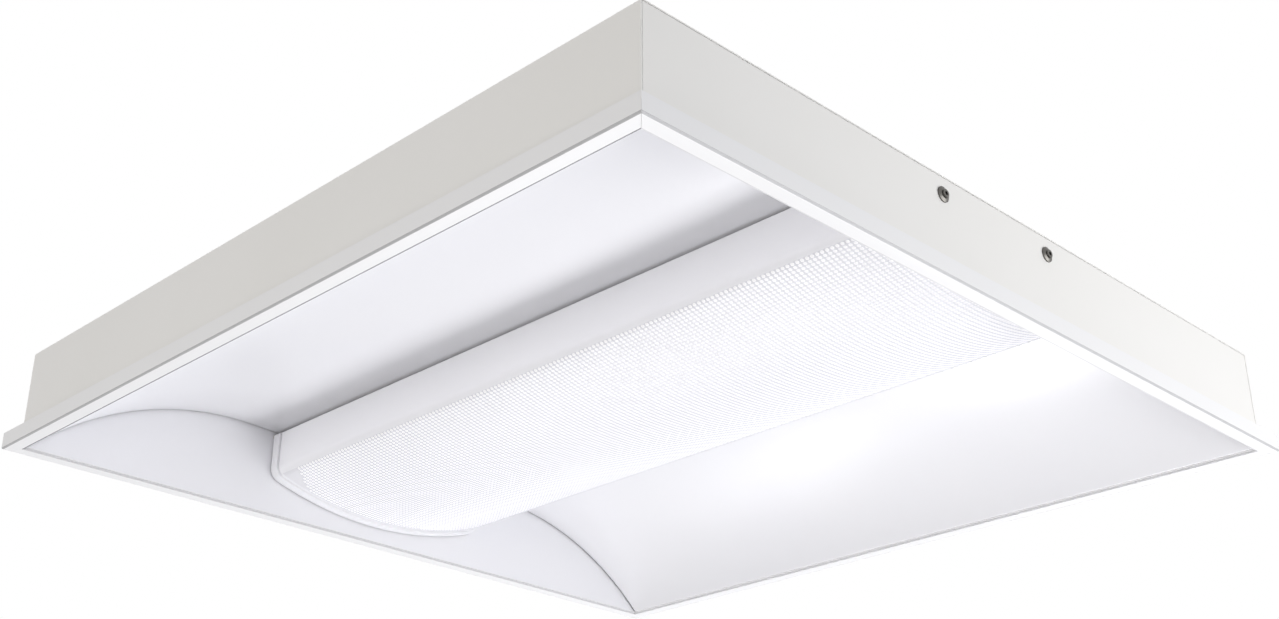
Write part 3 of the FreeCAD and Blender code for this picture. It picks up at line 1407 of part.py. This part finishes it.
for rail_label, rail_turn in (("front", 0), ("right", 90), ("back", 180), ("left", 270)):
    make_face_rail(f"face_rail_{rail_label}", rail_turn)
make_housing_pan()
make_end_wall("end_wall_right", 0)
make_end_wall("end_wall_left", 180)
make_side_reflector("side_reflector_back", 0)
make_side_reflector("side_reflector_front", 180)
make_end_plate("end_plate_right", 1)
make_end_plate("end_plate_left", -1)
make_gear_tray()
make_tray_rivets()
make_led_board("led_board_front", "-")
make_led_board("led_board_back", "")
make_led_packages()
make_board_connectors()
make_driver()
make_terminal_bracket()
make_terminal_block()
make_leads()
make_earth_tag()
make_cover_hinge_leaf()
make_access_cover()
make_cover_hinge_pin()
make_cable_bush()
make_hanger_brackets()
make_basket_shell()
make_diffuser_inlay()
make_inlay_clips()
make_end_cap("end_cap_right", 1)
make_end_cap("end_cap_left", -1)
make_basket_hinge()
make_catch_magnets()
make_fasteners()

doc.recompute()
for item in doc.Objects:
    if "Invalid" in item.State or "Error" in item.State:
        raise RuntimeError(f"{item.Name} ({item.Label}) failed: {item.State}")
os.makedirs("parts", exist_ok=True)
for subpart in subparts:
    if subpart.Shape.isNull() or not subpart.Shape.isValid():
        raise RuntimeError(f"{subpart.Label} has no valid shape")
    subpart.Shape.exportStep(f"parts/{subpart.Label}.step")
    print(subpart.Label, len(subpart.Shape.Solids), round(subpart.Shape.Volume, 1))
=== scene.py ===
import math

import bmesh
import bpy
from mathutils import Matrix, Vector


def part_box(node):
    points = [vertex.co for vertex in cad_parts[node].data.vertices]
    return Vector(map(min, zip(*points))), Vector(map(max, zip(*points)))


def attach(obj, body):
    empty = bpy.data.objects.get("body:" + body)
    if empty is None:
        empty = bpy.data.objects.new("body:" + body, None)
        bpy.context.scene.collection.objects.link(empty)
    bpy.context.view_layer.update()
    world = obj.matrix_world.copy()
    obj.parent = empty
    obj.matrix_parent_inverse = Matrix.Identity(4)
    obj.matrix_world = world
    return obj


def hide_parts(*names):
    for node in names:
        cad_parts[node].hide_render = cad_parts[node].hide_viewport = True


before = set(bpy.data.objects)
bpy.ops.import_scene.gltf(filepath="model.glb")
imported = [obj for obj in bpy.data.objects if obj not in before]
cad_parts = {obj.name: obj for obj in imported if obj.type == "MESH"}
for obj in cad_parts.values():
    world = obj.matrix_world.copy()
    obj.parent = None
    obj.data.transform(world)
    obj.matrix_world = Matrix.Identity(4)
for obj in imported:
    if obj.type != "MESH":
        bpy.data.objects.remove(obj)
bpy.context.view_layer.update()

# ---- Where it hangs -----------------------------------------------------------------------
# It hangs at ceiling height, 2.8 m above a pale floor, and is seen from below its near corner.
# The key stands low beyond the far cove, so the basket shades a band of the near one. A small
# box to its left shines in the far cove, two broad ones light the sides, and one the back.

PHOTO_WIDTH = 1279
SENSOR_WIDTH = 36
FOCAL_PIXELS = 1714.3
MIDDLE_PIXELS = (33.4, -16.9)
SIGHT_END = 100
EYE = (0.74935, -0.75656, -0.39884)
EYE_LOOK = (-0.6463, 0.6269, 0.4350)
EYE_RIGHT = (0.69846, 0.71562, 0.00638)
AMBIENT = 0.27
FLOOR_DROP = 2.8
FLOOR_HALF = 12
FLOOR_GLOW = 0.62
SCREED_MOTTLE = 0.4

scene = bpy.context.scene
scene.view_settings.view_transform = "Standard"

eye = bpy.data.cameras.new("eye")
eye.sensor_width = SENSOR_WIDTH
eye.lens = SENSOR_WIDTH * FOCAL_PIXELS / PHOTO_WIDTH
eye.shift_x = MIDDLE_PIXELS[0] / PHOTO_WIDTH
eye.shift_y = MIDDLE_PIXELS[1] / PHOTO_WIDTH
eye.clip_end = SIGHT_END
viewer = bpy.data.objects.new("viewer", eye)
scene.collection.objects.link(viewer)
look = Vector(EYE_LOOK).normalized()
right = Vector(EYE_RIGHT).normalized()
turned = Matrix((right, right.cross(look), -look)).transposed().to_4x4()
viewer.matrix_world = Matrix.Translation(EYE) @ turned
scene.camera = viewer


def linear(text):
    """A colour written as sRGB hex, in linear values with full alpha."""
    parts = [int(text[i : i + 2], 16) / 255 for i in (1, 3, 5)]
    return [p / 12.92 if p <= 0.04045 else ((p + 0.055) / 1.055) ** 2.4 for p in parts] + [1]


def add_node(tree, kind, settings=None, links=None):
    """Adds one node, sets its sockets or its properties, and links its inputs."""
    node = tree.nodes.new("ShaderNode" + kind)
    for name, value in (settings or {}).items():
        if isinstance(name, int) or name in node.inputs:
            node.inputs[name].default_value = value
        else:
            setattr(node, name, value)
    for socket, source in (links or {}).items():
        tree.links.new(source, node.inputs[socket])
    return node


def new_material(name, settings):
    """A material with its constants set, its node tree and its surface."""
    material = bpy.data.materials.new(name)
    material.use_nodes = True
    surface = material.node_tree.nodes["Principled BSDF"]
    for socket, value in settings.items():
        surface.inputs[socket].default_value = value
    return material, material.node_tree, surface


def vary_colour(tree, surface, first, second, size, settings=None, stretch=None):
    """Varies a surface between two colours in patches of a real size, and gives their mask."""
    where = add_node(tree, "TexCoord").outputs["Object"]
    if stretch:
        where = add_node(tree, "Mapping", {"Scale": stretch}, {"Vector": where}).outputs[0]
    patches = add_node(
        tree, "TexNoise", {"Scale": 1 / size, **(settings or {})}, {"Vector": where}
    )
    tone = add_node(
        tree,
        "Mix",
        {"data_type": "RGBA", 6: linear(first), 7: linear(second)},
        {0: patches.outputs["Fac"]},
    )
    tree.links.new(tone.outputs[2], surface.inputs["Base Color"])
    return patches.outputs["Fac"]


def seen_by_sight(tree):
    """A mask of the rays that look: from the camera, off a gloss or through a clear piece."""
    sight = add_node(tree, "LightPath")
    seen = sight.outputs["Is Camera Ray"]
    for kind in ("Is Glossy Ray", "Is Transmission Ray"):
        both = add_node(
            tree, "Math", {"operation": "MAXIMUM"}, {0: seen, 1: sight.outputs[kind]}
        )
        seen = both.outputs[0]
    return seen


def soft_light(name, place, width, height, power, colour):
    """A rectangular soft box aimed at the light fitting, itself unseen."""
    box = bpy.data.lights.new(name, "AREA")
    box.shape = "RECTANGLE"
    box.size = width
    box.size_y = height
    box.energy = power
    box.color = linear(colour)[:3]
    stand = bpy.data.objects.new(name, box)
    scene.collection.objects.link(stand)
    stand.location = place
    stand.rotation_euler = (-Vector(place)).to_track_quat("-Z", "Y").to_euler()
    stand.visible_camera = False


soft_light("key_box", (-0.300, 1.412, -1.660), 0.8, 1.0, 27, "#FDFDFF")
soft_light("left_box", (-1.340, 0.950, -1.460), 0.85, 0.6, 6.5, "#FDFDFF")
soft_light("right_box", (1.25, 0.55, -0.30), 1.0, 1.0, 14, "#FFFFFF")
soft_light("viewer_side_box", (0.178, -2.032, -0.824), 2.0, 1.8, 27, "#FFFCF6")
soft_light("top_box", (0.0, 0.0, 1.6), 1.0, 1.0, 13, "#FFFFFF")

room = bpy.data.worlds.new("room")
room.use_nodes = True
scene.world = room
air = room.node_tree
air.nodes.clear()
ambient = add_node(air, "Background", {"Color": linear("#F7F8FF"), "Strength": AMBIENT})
backdrop = add_node(air, "Background", {"Color": linear("#FFFFFF"), "Strength": 1.0})
either = add_node(
    air,
    "MixShader",
    links={0: seen_by_sight(air), 1: ambient.outputs[0], 2: backdrop.outputs[0]},
)
add_node(air, "OutputWorld", links={"Surface": either.outputs[0]})

# Pale matt screed: nearly white, with a faint mottle. It glows to the eye and in reflections
# only, so it looks white and still takes the shadow.
screed, tree, surface = new_material(
    "pale_screed", {"Roughness": 0.9, "Emission Color": linear("#FFFFFF")}
)
vary_colour(tree, surface, "#EFEFEF", "#F4F4F4", SCREED_MOTTLE)
glow = add_node(tree, "Math", {"operation": "MULTIPLY", 1: FLOOR_GLOW}, {0: seen_by_sight(tree)})
tree.links.new(glow.outputs[0], surface.inputs["Emission Strength"])

ground = bmesh.new()
bmesh.ops.create_grid(ground, x_segments=1, y_segments=1, size=FLOOR_HALF)
bmesh.ops.translate(ground, verts=ground.verts, vec=(0, 0, -FLOOR_DROP))
floor_mesh = bpy.data.meshes.new("floor")
ground.to_mesh(floor_mesh)
ground.free()
floor_mesh.materials.append(screed)
floor = bpy.data.objects.new("floor", floor_mesh)
scene.collection.objects.link(floor)

# ---- Face frame ---------------------------------------------------------------------------
# Four rails of folded 0.8 mm steel strip, mitred at the corners and powder-coated white: the
# outer lip stands up, and the 10.4 mm face is what the room sees of the frame.

FILM_PATCH = 0.09
PEEL_CREST = 0.0016
PEEL_DEPTH = 0.000008
# Painted shade at the outer bend and the face's inner rim: how far out from the middle, and how far
# up.
BEND_LINE = 0.2974
BEND_HEIGHT = 0.0011
RIM_LINE = 0.2889
RIM_HEIGHT = 0.0013


def powder_coat(name, colour, shadow, gloss):
    """Baked polyester powder on steel: an even semi-gloss with a fine orange peel."""
    paint, tree, coat = new_material(name, {"IOR": 1.5})
    # Handling and the film's thickness change the tone and the gloss a little from place to place.
    film = vary_colour(
        tree, coat, colour, shadow, FILM_PATCH, {"Detail": 2, "Roughness": 0.4}
    )
    sheen = add_node(
        tree, "MapRange", {"To Min": gloss - 0.03, "To Max": gloss + 0.04}, {"Value": film}
    )
    tree.links.new(sheen.outputs[0], coat.inputs["Roughness"])
    # Orange peel is 1 to 2 mm from crest to crest and a few micrometres deep.
    where = add_node(tree, "TexCoord")
    peel = add_node(
        tree,
        "TexNoise",
        {"Scale": 1 / PEEL_CREST, "Detail": 1, "Roughness": 0.3},
        {"Vector": where.outputs["Object"]},
    )
    relief = add_node(
        tree, "Bump", {"Strength": 0.25, "Distance": PEEL_DEPTH}, {"Height": peel.outputs["Fac"]}
    )
    tree.links.new(relief.outputs[0], coat.inputs["Normal"])
    return paint


def finish_nodes(material, *names):
    """Gives CAD pieces their surface."""
    for name in names:
        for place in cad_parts[name].material_slots:
            place.material = material


def paint_shade_on_edges(paint, bend_shade, rim_shade):
    """Paints shade on the coat: a grey line at the outer bend, a shadow line at the face's inner
    rim.
    """
    tree = paint.node_tree
    coat = tree.nodes["Principled BSDF"].inputs["Base Color"]
    where = add_node(tree, "TexCoord")
    place = add_node(tree, "SeparateXYZ", links={0: where.outputs["Object"]})
    sides = [
        add_node(tree, "Math", {"operation": "ABSOLUTE"}, {0: place.outputs[axis]})
        for axis in ("X", "Y")
    ]
    reach = add_node(
        tree, "Math", {"operation": "MAXIMUM"}, {0: sides[0].outputs[0], 1: sides[1].outputs[0]}
    )
    # Each pass paints one line of shade into the base colour: grey at the bend, dark at the rim's
    # gap.
    for edge, limit, inside, height in (
        (bend_shade, BEND_LINE, "GREATER_THAN", BEND_HEIGHT),
        (rim_shade, RIM_LINE, "LESS_THAN", RIM_HEIGHT),
    ):
        band = add_node(tree, "Math", {"operation": inside, 1: limit}, {0: reach.outputs[0]})
        low = add_node(tree, "Math", {"operation": "LESS_THAN", 1: height}, {0: place.outputs["Z"]})
        both = add_node(
            tree, "Math", {"operation": "MULTIPLY"}, {0: band.outputs[0], 1: low.outputs[0]}
        )
        tone = add_node(
            tree,
            "Mix",
            {"data_type": "RGBA", 7: linear(edge)},
            {0: both.outputs[0], 6: coat.links[0].from_socket},
        )
        tree.links.new(tone.outputs[2], coat)


# The painted shadow in the joint of face and hem is darkest on the front rail, faintest on the
# back.
for rails, rim_shade in (
    (("front",), "#6E6E72"),
    (("back",), "#DCDCDE"),
    (("right", "left"), "#CFCFD1"),
):
    rail_white_and_shade = powder_coat(f"{rails[0]}_rail_coat_and_painted_shade", "#EAEAEB", "#E6E6E7", 0.33)
    paint_shade_on_edges(rail_white_and_shade, "#B4B4B6", rim_shade)
    finish_nodes(rail_white_and_shade, *(f"face_rail_{side}" for side in rails))

# ---- Housing ------------------------------------------------------------------------------
# A shallow box of 0.7 mm steel: one folded pan with pressed beads on its back, and two end
# walls. It is painted with the frame, in a slightly warmer white.

housing_white = powder_coat("housing_powder_coat", "#E9E8E6", "#E5E4E1", 0.36)
finish_nodes(housing_white, "housing_pan", "end_wall_right", "end_wall_left")

# ---- Side reflectors ----------------------------------------------------------------------
# Two coves of 0.6 mm sheet rolled to a 236 mm radius. The outer hem lies on the frame's ledge,
# and the inner edge folds up above the basket's wall and in under the gear tray, where rivets
# hold it. They end 1.3 mm short of the end plates' faces, which shows as a dark joint.

SHEET = 0.0006
COVE_RADIUS = 0.2357
COVE_AXIS = (0.125, 0.0651 - COVE_RADIUS)
COVE_STEPS = 72
COVE_JOINT = 0.001
COVE_CUT_EDGE = 0.00015
INNER_EDGE = (0.0900, 0.0639)
SMOOTH_BELOW = math.radians(35)
EASED_ABOVE = math.radians(40)

cove_low, cove_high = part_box("side_reflector_back")
cove_half_length = cove_high.x - COVE_JOINT
flange_tip, hem = cove_low.y, cove_high.y
ledge_top, flange_under = cove_low.z, cove_high.z - SHEET
hem_turn = math.asin((ledge_top - COVE_AXIS[1]) / COVE_RADIUS)


def draw_on(bm, tip, across, up):
    """Draws a section on with a straight run."""
    fresh = bmesh.ops.extrude_vert_indiv(bm, verts=[tip])["verts"][0]
    fresh.co = (tip.co.x, across, up)
    return fresh


def curve_on(bm, tip, centre, angle, steps):
    """Draws a section on with an arc about a centre."""
    swept = bmesh.ops.spin(
        bm,
        geom=[tip],
        axis=(1, 0, 0),
        cent=(0, *centre),
        angle=angle,
        steps=steps,
        use_duplicate=False,
    )
    return [item for item in swept["geom_last"] if isinstance(item, bmesh.types.BMVert)][0]


def pull_out(bm, half_length):
    """Pulls a section out along the basket's length."""
    bmesh.ops.translate(bm, verts=bm.verts, vec=(-half_length, 0, 0))
    pulled = bmesh.ops.extrude_edge_only(bm, edges=bm.edges)["geom"]
    ends = [item for item in pulled if isinstance(item, bmesh.types.BMVert)]
    bmesh.ops.translate(bm, verts=ends, vec=(2 * half_length, 0, 0))


def face_towards(bm, direction):
    """Turns an open sheet's faces so that on the whole they look in a direction."""
    bmesh.ops.recalc_face_normals(bm, faces=bm.faces)
    facing = sum((face.normal * face.calc_area() for face in bm.faces), Vector())
    if facing.dot(Vector(direction)) < 0:
        bmesh.ops.reverse_faces(bm, faces=bm.faces)


def make_piece(name, bm, material, body, replaced=()):
    """Turns a finished bmesh into a piece of the fitting."""
    mesh = bpy.data.meshes.new(name)
    for face in bm.faces:
        face.smooth = True
    bm.to_mesh(mesh)
    bm.free()
    mesh.set_sharp_from_angle(angle=SMOOTH_BELOW)
    mesh.materials.append(material)
    piece = bpy.data.objects.new(name, mesh)
    scene.collection.objects.link(piece)
    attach(piece, body)
    if replaced:
        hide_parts(*replaced)
    return piece


def fold_sheet(piece, thickness, cut_edge):
    """Gives an open sheet its thickness behind its face, and eases its cut edges."""
    wall = piece.modifiers.new("thickness", "SOLIDIFY")
    wall.thickness = thickness
    wall.offset = -1
    wall.use_even_offset = True
    ease = piece.modifiers.new("eased_edges", "BEVEL")
    ease.width = cut_edge
    ease.segments = 2
    ease.limit_method = "ANGLE"
    ease.angle_limit = EASED_ABOVE
    ease.harden_normals = False


reflector_white = powder_coat("reflector_powder_coat", "#EAEAED", "#E7E7EB", 0.33)
for side, turn in (("back", 0), ("front", math.pi)):
    bm = bmesh.new()
    tip = bmesh.ops.create_vert(bm, co=(0, hem, ledge_top))["vert"][0]
    tip = draw_on(bm, tip, COVE_AXIS[0] + COVE_RADIUS * math.cos(hem_turn), ledge_top)
    tip = curve_on(bm, tip, COVE_AXIS, math.pi / 2 - hem_turn, COVE_STEPS)
    tip = draw_on(bm, tip, *INNER_EDGE)
    tip = draw_on(bm, tip, INNER_EDGE[0], flange_under)
    draw_on(bm, tip, flange_tip, flange_under)
    pull_out(bm, cove_half_length)
    face_towards(bm, (0, 0, -1))
    bmesh.ops.rotate(bm, verts=bm.verts, cent=(0, 0, 0), matrix=Matrix.Rotation(turn, 3, "Z"))
    cove = make_piece(
        f"cove_{side}",
        bm,
        reflector_white,
        "fixture",
        (f"side_reflector_{side}",),
    )
    fold_sheet(cove, SHEET, COVE_CUT_EDGE)

# ---- End plates ---------------------------------------------------------------------------
# Flat plates of 0.7 mm painted sheet that stand on the frame's ledge and close both coves. Their
# top edges follow the reflectors, and each holds the bush that a pin of the basket turns in.

plate_white = powder_coat("end_plate_powder_coat", "#E9E9EC", "#E6E6EA", 0.35)
finish_nodes(plate_white, "end_plate_right", "end_plate_left")

# ---- Basket sheet -------------------------------------------------------------------------
# One trough of 0.6 mm steel sheet, perforated over its shallow lens and round the start of its
# tight corners, and plain on its walls and at its ends. A flange turns in along each wall's top.

LENS_RADIUS = 0.290
CORNER_RADIUS = 0.008
CORNER_STEPS = 6
BASKET_RETURN = 0.012
BASKET_CUT_EDGE = 0.0001
PITCH_ALONG = 0.00353
PITCH_ROUND = 0.00278
HOLE_RADIUS = 0.00113
HOLE_SIDES = 8
HOLE_START = 0.0003
COLUMNS = 157
ROWS = 68
SLANT_FROM = 0.066
SLANT = 0.75
SAME_PLACE = 0.00001

basket_low, basket_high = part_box("basket_shell")
sheet_half_length, basket_half, basket_top = basket_high
lens_axis = basket_low.z + LENS_RADIUS
corner_across = basket_half - CORNER_RADIUS
corner_turn = math.asin(corner_across / (LENS_RADIUS - CORNER_RADIUS))
corner_up = lens_axis - (LENS_RADIUS - CORNER_RADIUS) * math.cos(corner_turn)
lens_run = LENS_RADIUS * corner_turn
corner_run = lens_run + CORNER_RADIUS * (math.pi / 2 - corner_turn)
wall_run = corner_run + basket_top - corner_up
whole_run = wall_run + BASKET_RETURN
field_along = COLUMNS / 2 * PITCH_ALONG
field_round = ROWS / 2 * PITCH_ROUND


def round_basket(along, run):
    """The place on the sheet's outside at a distance round its section from the lowest line."""
    side = -1 if run < 0 else 1
    run = abs(run)
    if run <= lens_run:
        turn = run / LENS_RADIUS
        across = LENS_RADIUS * math.sin(turn)
        up = lens_axis - LENS_RADIUS * math.cos(turn)
    elif run <= corner_run:
        turn = corner_turn + (run - lens_run) / CORNER_RADIUS
        across = corner_across + CORNER_RADIUS * math.sin(turn)
        up = corner_up - CORNER_RADIUS * math.cos(turn)
    elif run <= wall_run:
        across = basket_half
        up = corner_up + run - corner_run
    else:
        across = basket_half - (run - wall_run)
        up = basket_top
    return Vector((along, side * across, up))


def bend_round_basket(bm):
    """Bends a flat sheet round the basket's section, with its faces outward."""
    for corner in bm.verts:
        corner.co = round_basket(corner.co.x, corner.co.y)
    bmesh.ops.reverse_faces(bm, faces=bm.faces)


basket_white = powder_coat("basket_powder_coat", "#F0F0F3", "#EDEDF1", 0.34)
# Painted shade: the perforated part is a greyer white, for the shade between the lit holes.
lens_white_painted_shade = powder_coat("perforated_coat_painted_shade", "#E0E0E4", "#DCDCE1", 0.36)

# The perforated lens: one cell with its eight-sided hole, repeated along and across.
bm = bmesh.new()
bmesh.ops.create_grid(bm, x_segments=1, y_segments=1, size=0.5)
bmesh.ops.scale(bm, verts=bm.verts, vec=(PITCH_ALONG, PITCH_ROUND, 1))
hole = bm.faces[:]
bmesh.ops.inset_individual(bm, faces=hole, thickness=HOLE_START)
bmesh.ops.subdivide_edges(bm, edges=hole[0].edges[:], cuts=1)
for corner in hole[0].verts:
    signs = [0 if abs(part) < SAME_PLACE else math.copysign(1, part) for part in corner.co]
    corner.co = Vector(signs).normalized() * HOLE_RADIUS
bmesh.ops.delete(bm, geom=hole, context="FACES_ONLY")
for count, step in ((COLUMNS, Vector((PITCH_ALONG, 0, 0))), (ROWS, Vector((0, PITCH_ROUND, 0)))):
    pattern = bm.verts[:] + bm.edges[:] + bm.faces[:]
    for place in range(1, count):
        copied = bmesh.ops.duplicate(bm, geom=pattern)["geom"]
        corners = [item for item in copied if isinstance(item, bmesh.types.BMVert)]
        bmesh.ops.translate(bm, verts=corners, vec=place * step)
    bmesh.ops.remove_doubles(bm, verts=bm.verts, dist=SAME_PLACE)
    bmesh.ops.translate(bm, verts=bm.verts, vec=(1 - count) / 2 * step)
# The punch leaves out a slanting corner of the field at each end of its outermost rows.
left_out = [
    edge
    for edge in bm.edges
    if edge.is_boundary
    and edge.calc_length() < HOLE_RADIUS
    and abs(edge.verts[0].co.y) > SLANT_FROM
    and abs(edge.verts[0].co.x) > field_along - SLANT * (abs(edge.verts[0].co.y) - SLANT_FROM)
]
bmesh.ops.holes_fill(bm, edges=left_out, sides=HOLE_SIDES)
bend_round_basket(bm)
make_piece("basket_perforated_lens", bm, lens_white_painted_shade, "basket", ("basket_shell",))

# The plain margins: a grid laid round the same section, open where the lens is.
stops = [
    field_round + (corner_run - field_round) * step / CORNER_STEPS
    for step in range(1, CORNER_STEPS + 1)
]
stops += [wall_run, whole_run]
runs = [-stop for stop in reversed(stops)]
runs += [(row - ROWS / 2) * PITCH_ROUND for row in range(ROWS + 1)]
runs += stops
alongs = [-sheet_half_length, -field_along, field_along, sheet_half_length]
bm = bmesh.new()
bmesh.ops.create_grid(bm, x_segments=len(alongs) - 1, y_segments=len(runs) - 1, size=0.5)
for corner in bm.verts:
    corner.co.x = alongs[round((corner.co.x + 0.5) * (len(alongs) - 1))]
    corner.co.y = runs[round((corner.co.y + 0.5) * (len(runs) - 1))]
window = [
    face
    for face in bm.faces
    if abs(face.calc_center_median().x) < field_along
    and abs(face.calc_center_median().y) < field_round
]
bmesh.ops.delete(bm, geom=window, context="FACES")
bend_round_basket(bm)
margin = make_piece("basket_plain_margin", bm, basket_white, "basket")
fold_sheet(margin, SHEET, BASKET_CUT_EDGE)

# ---- Basket end caps ----------------------------------------------------------------------
# Pressed steel caps with a band that stands 2 mm proud of the sheet, painted to match it. Each is
# held by two screws and carries one of the pins that the basket swings on.

cap_white = powder_coat("end_cap_powder_coat", "#EEEEF1", "#EAEAEE", 0.34)
finish_nodes(cap_white, "end_cap_right", "end_cap_left")

# ---- Opal inlay ---------------------------------------------------------------------------
# A 1.2 mm acrylic sheet on the lens. It spreads the light of the boards, so every hole shines,
# a little more in some patches than in others.

GLOW_PATCH = 0.12
GLOW_LEAST = 0.29
GLOW_MOST = 0.35

opal, tree, acrylic = new_material(
    "lit_opal_acrylic", {"IOR": 1.49, "Roughness": 0.45, "Emission Color": linear("#FFFFFF")}
)
spread = vary_colour(tree, acrylic, "#F6F6F8", "#F9F9FA", GLOW_PATCH, {"Detail": 0})
glow = add_node(tree, "MapRange", {"To Min": GLOW_LEAST, "To Max": GLOW_MOST}, {"Value": spread})
tree.links.new(glow.outputs[0], acrylic.inputs["Emission Strength"])
finish_nodes(opal, "diffuser_inlay")

# ---- Gear tray and light engine -----------------------------------------------------------
# The painted tray across the housing, with two printed boards of LED packages under it. Copper
# under a board's white mask shows as bars one LED pitch long.

LED_PITCH = 0.023
PHOSPHOR_GRAIN = 0.0006

tray_white = powder_coat("tray_powder_coat", "#E6E6E8", "#E2E2E4", 0.42)
finish_nodes(tray_white, "gear_tray")

solder_mask, tree, mask = new_material("white_solder_mask", {"Roughness": 0.3})
where = add_node(tree, "TexCoord")
tracks = add_node(
    tree,
    "TexBrick",
    {
        "Scale": 1 / LED_PITCH,
        "Color1": linear("#EFEFEA"),
        "Color2": linear("#EAEAE4"),
        "Mortar": linear("#DCDCD4"),
        "Mortar Size": 0.03,
        "Brick Width": 1.0,
        "Row Height": 0.35,
    },
    {"Vector": where.outputs["Object"]},
)
tree.links.new(tracks.outputs["Color"], mask.inputs["Base Color"])
finish_nodes(solder_mask, "led_board_front", "led_board_back")

phosphor, tree, chip = new_material(
    "lit_led_phosphor",
    {"Roughness": 0.35, "Emission Color": linear("#FFF3D6"), "Emission Strength": 2.5},
)
vary_colour(tree, chip, "#F3E08A", "#F7EAA6", PHOSPHOR_GRAIN)
finish_nodes(phosphor, "led_packages")


def moulded_plastic(name, colour, second, roughness, grain):
    """Injection-moulded plastic: even colour, and a spark-eroded grain of a known size."""
    plastic, tree, skin = new_material(name, {"IOR": 1.5, "Roughness": roughness})
    speckle = vary_colour(tree, skin, colour, second, grain)
    relief = add_node(tree, "Bump", {"Strength": 0.3, "Distance": grain / 20}, {"Height": speckle})
    tree.links.new(relief.outputs[0], skin.inputs["Normal"])
    return plastic


white_polyamide = moulded_plastic("white_polyamide", "#E9E9E4", "#E4E4DE", 0.42, 0.0008)
finish_nodes(white_polyamide, "board_connectors", "driver_terminals", "terminal_block")
orange_polyamide = moulded_plastic("orange_polyamide", "#DB6A1E", "#D2621A", 0.38, 0.0008)
finish_nodes(
    orange_polyamide, "release_button_earth", "release_button_neutral", "release_button_line"
)
brown_pvc = moulded_plastic("brown_pvc", "#5A3A26", "#533421", 0.5, 0.001)
finish_nodes(brown_pvc, "supply_leads")
# The earth lead's insulation is green and yellow, in patches about 4 mm wide.
green_pvc = moulded_plastic("green_pvc", "#3E8A3A", "#C8C23A", 0.5, 0.004)
finish_nodes(green_pvc, "earth_lead")
red_pvc = moulded_plastic("red_pvc", "#A82A22", "#9E241D", 0.5, 0.001)
finish_nodes(red_pvc, "led_leads")

# ---- Cable bush and hinge bushes ----------------------------------------------------------
# Snap-in nylon: black where the supply cable enters through the cover, and natural white in the
# end plates, where the basket's pins turn.

black_nylon = moulded_plastic("black_nylon", "#1B1B1D", "#222225", 0.48, 0.0006)
finish_nodes(black_nylon, "cable_bush")
natural_nylon = moulded_plastic("natural_nylon", "#E2E1DA", "#DCDBD3", 0.45, 0.0006)
finish_nodes(natural_nylon, "hinge_bushes")

# ---- Driver -------------------------------------------------------------------------------
# A bare aluminium case, drawn along the basket's length, which leaves lines a dozen times
# longer than they are wide.

GRAIN_STRETCH = (0.08, 1, 1)


def worked_metal(name, colour, second, roughness, grain):
    """Bare metal with a grain drawn out along the basket's length."""
    metal, tree, face = new_material(name, {"Metallic": 1.0})
    lines = vary_colour(tree, face, colour, second, grain, {"Detail": 3}, GRAIN_STRETCH)
    scatter = add_node(
        tree,
        "MapRange",
        {"To Min": roughness - 0.06, "To Max": roughness + 0.08},
        {"Value": lines},
    )
    tree.links.new(scatter.outputs[0], face.inputs["Roughness"])
    return metal


bare_aluminium = worked_metal("drawn_aluminium", "#D3D5D8", "#C9CBCE", 0.34, 0.0008)
finish_nodes(bare_aluminium, "driver_case")

# ---- Zinc-plated brackets, cover and hinge ------------------------------------------------
# Blanked and folded from 0.8 to 1.2 mm steel and zinc-plated, so faintly blue and cloudy. They
# are riveted on, and the cover turns on the pin of its leaf.

zinc_plate = worked_metal("zinc_plate", "#C3C6CA", "#B4B8BE", 0.36, 0.004)
finish_nodes(
    zinc_plate, "terminal_bracket", "cover_hinge_leaf", "access_cover", "hanger_brackets"
)

# ---- Rivets, screws, pins and clips -------------------------------------------------------
# Small turned and headed steel parts, tumbled bright. The rivets in the end walls, with a
# raised ring round the hollow of their mandrel, are of duller steel.

dull_steel = worked_metal("dull_steel", "#6F6D6A", "#5C5A57", 0.34, 0.0006)
finish_nodes(dull_steel, "tray_rivets")
bright_steel = worked_metal("tumbled_steel", "#C9C8C6", "#B5B4B2", 0.28, 0.0005)
finish_nodes(
    bright_steel,
    "reflector_rivets",
    "bracket_rivets",
    "board_screws",
    "driver_screws",
    "leaf_rivets",
    "hanger_rivets",
    "cover_screw",
    "cap_screws",
    "cover_hinge_pin",
    "hinge_pins",
    "inlay_clips",
)
brass = worked_metal("tinned_brass", "#D0B26A", "#C4A55E", 0.3, 0.0008)
finish_nodes(brass, "earth_tag", "earth_screw")

# ---- Catch magnets ------------------------------------------------------------------------
# Two nickel-plated blocks glued under the back reflector's flange. They hold the basket shut by
# its own steel flange, which lies 0.3 mm below them.

nickel = worked_metal("nickel_plate", "#C8C3B9", "#BEB9AF", 0.2, 0.001)
finish_nodes(nickel, "catch_magnets")
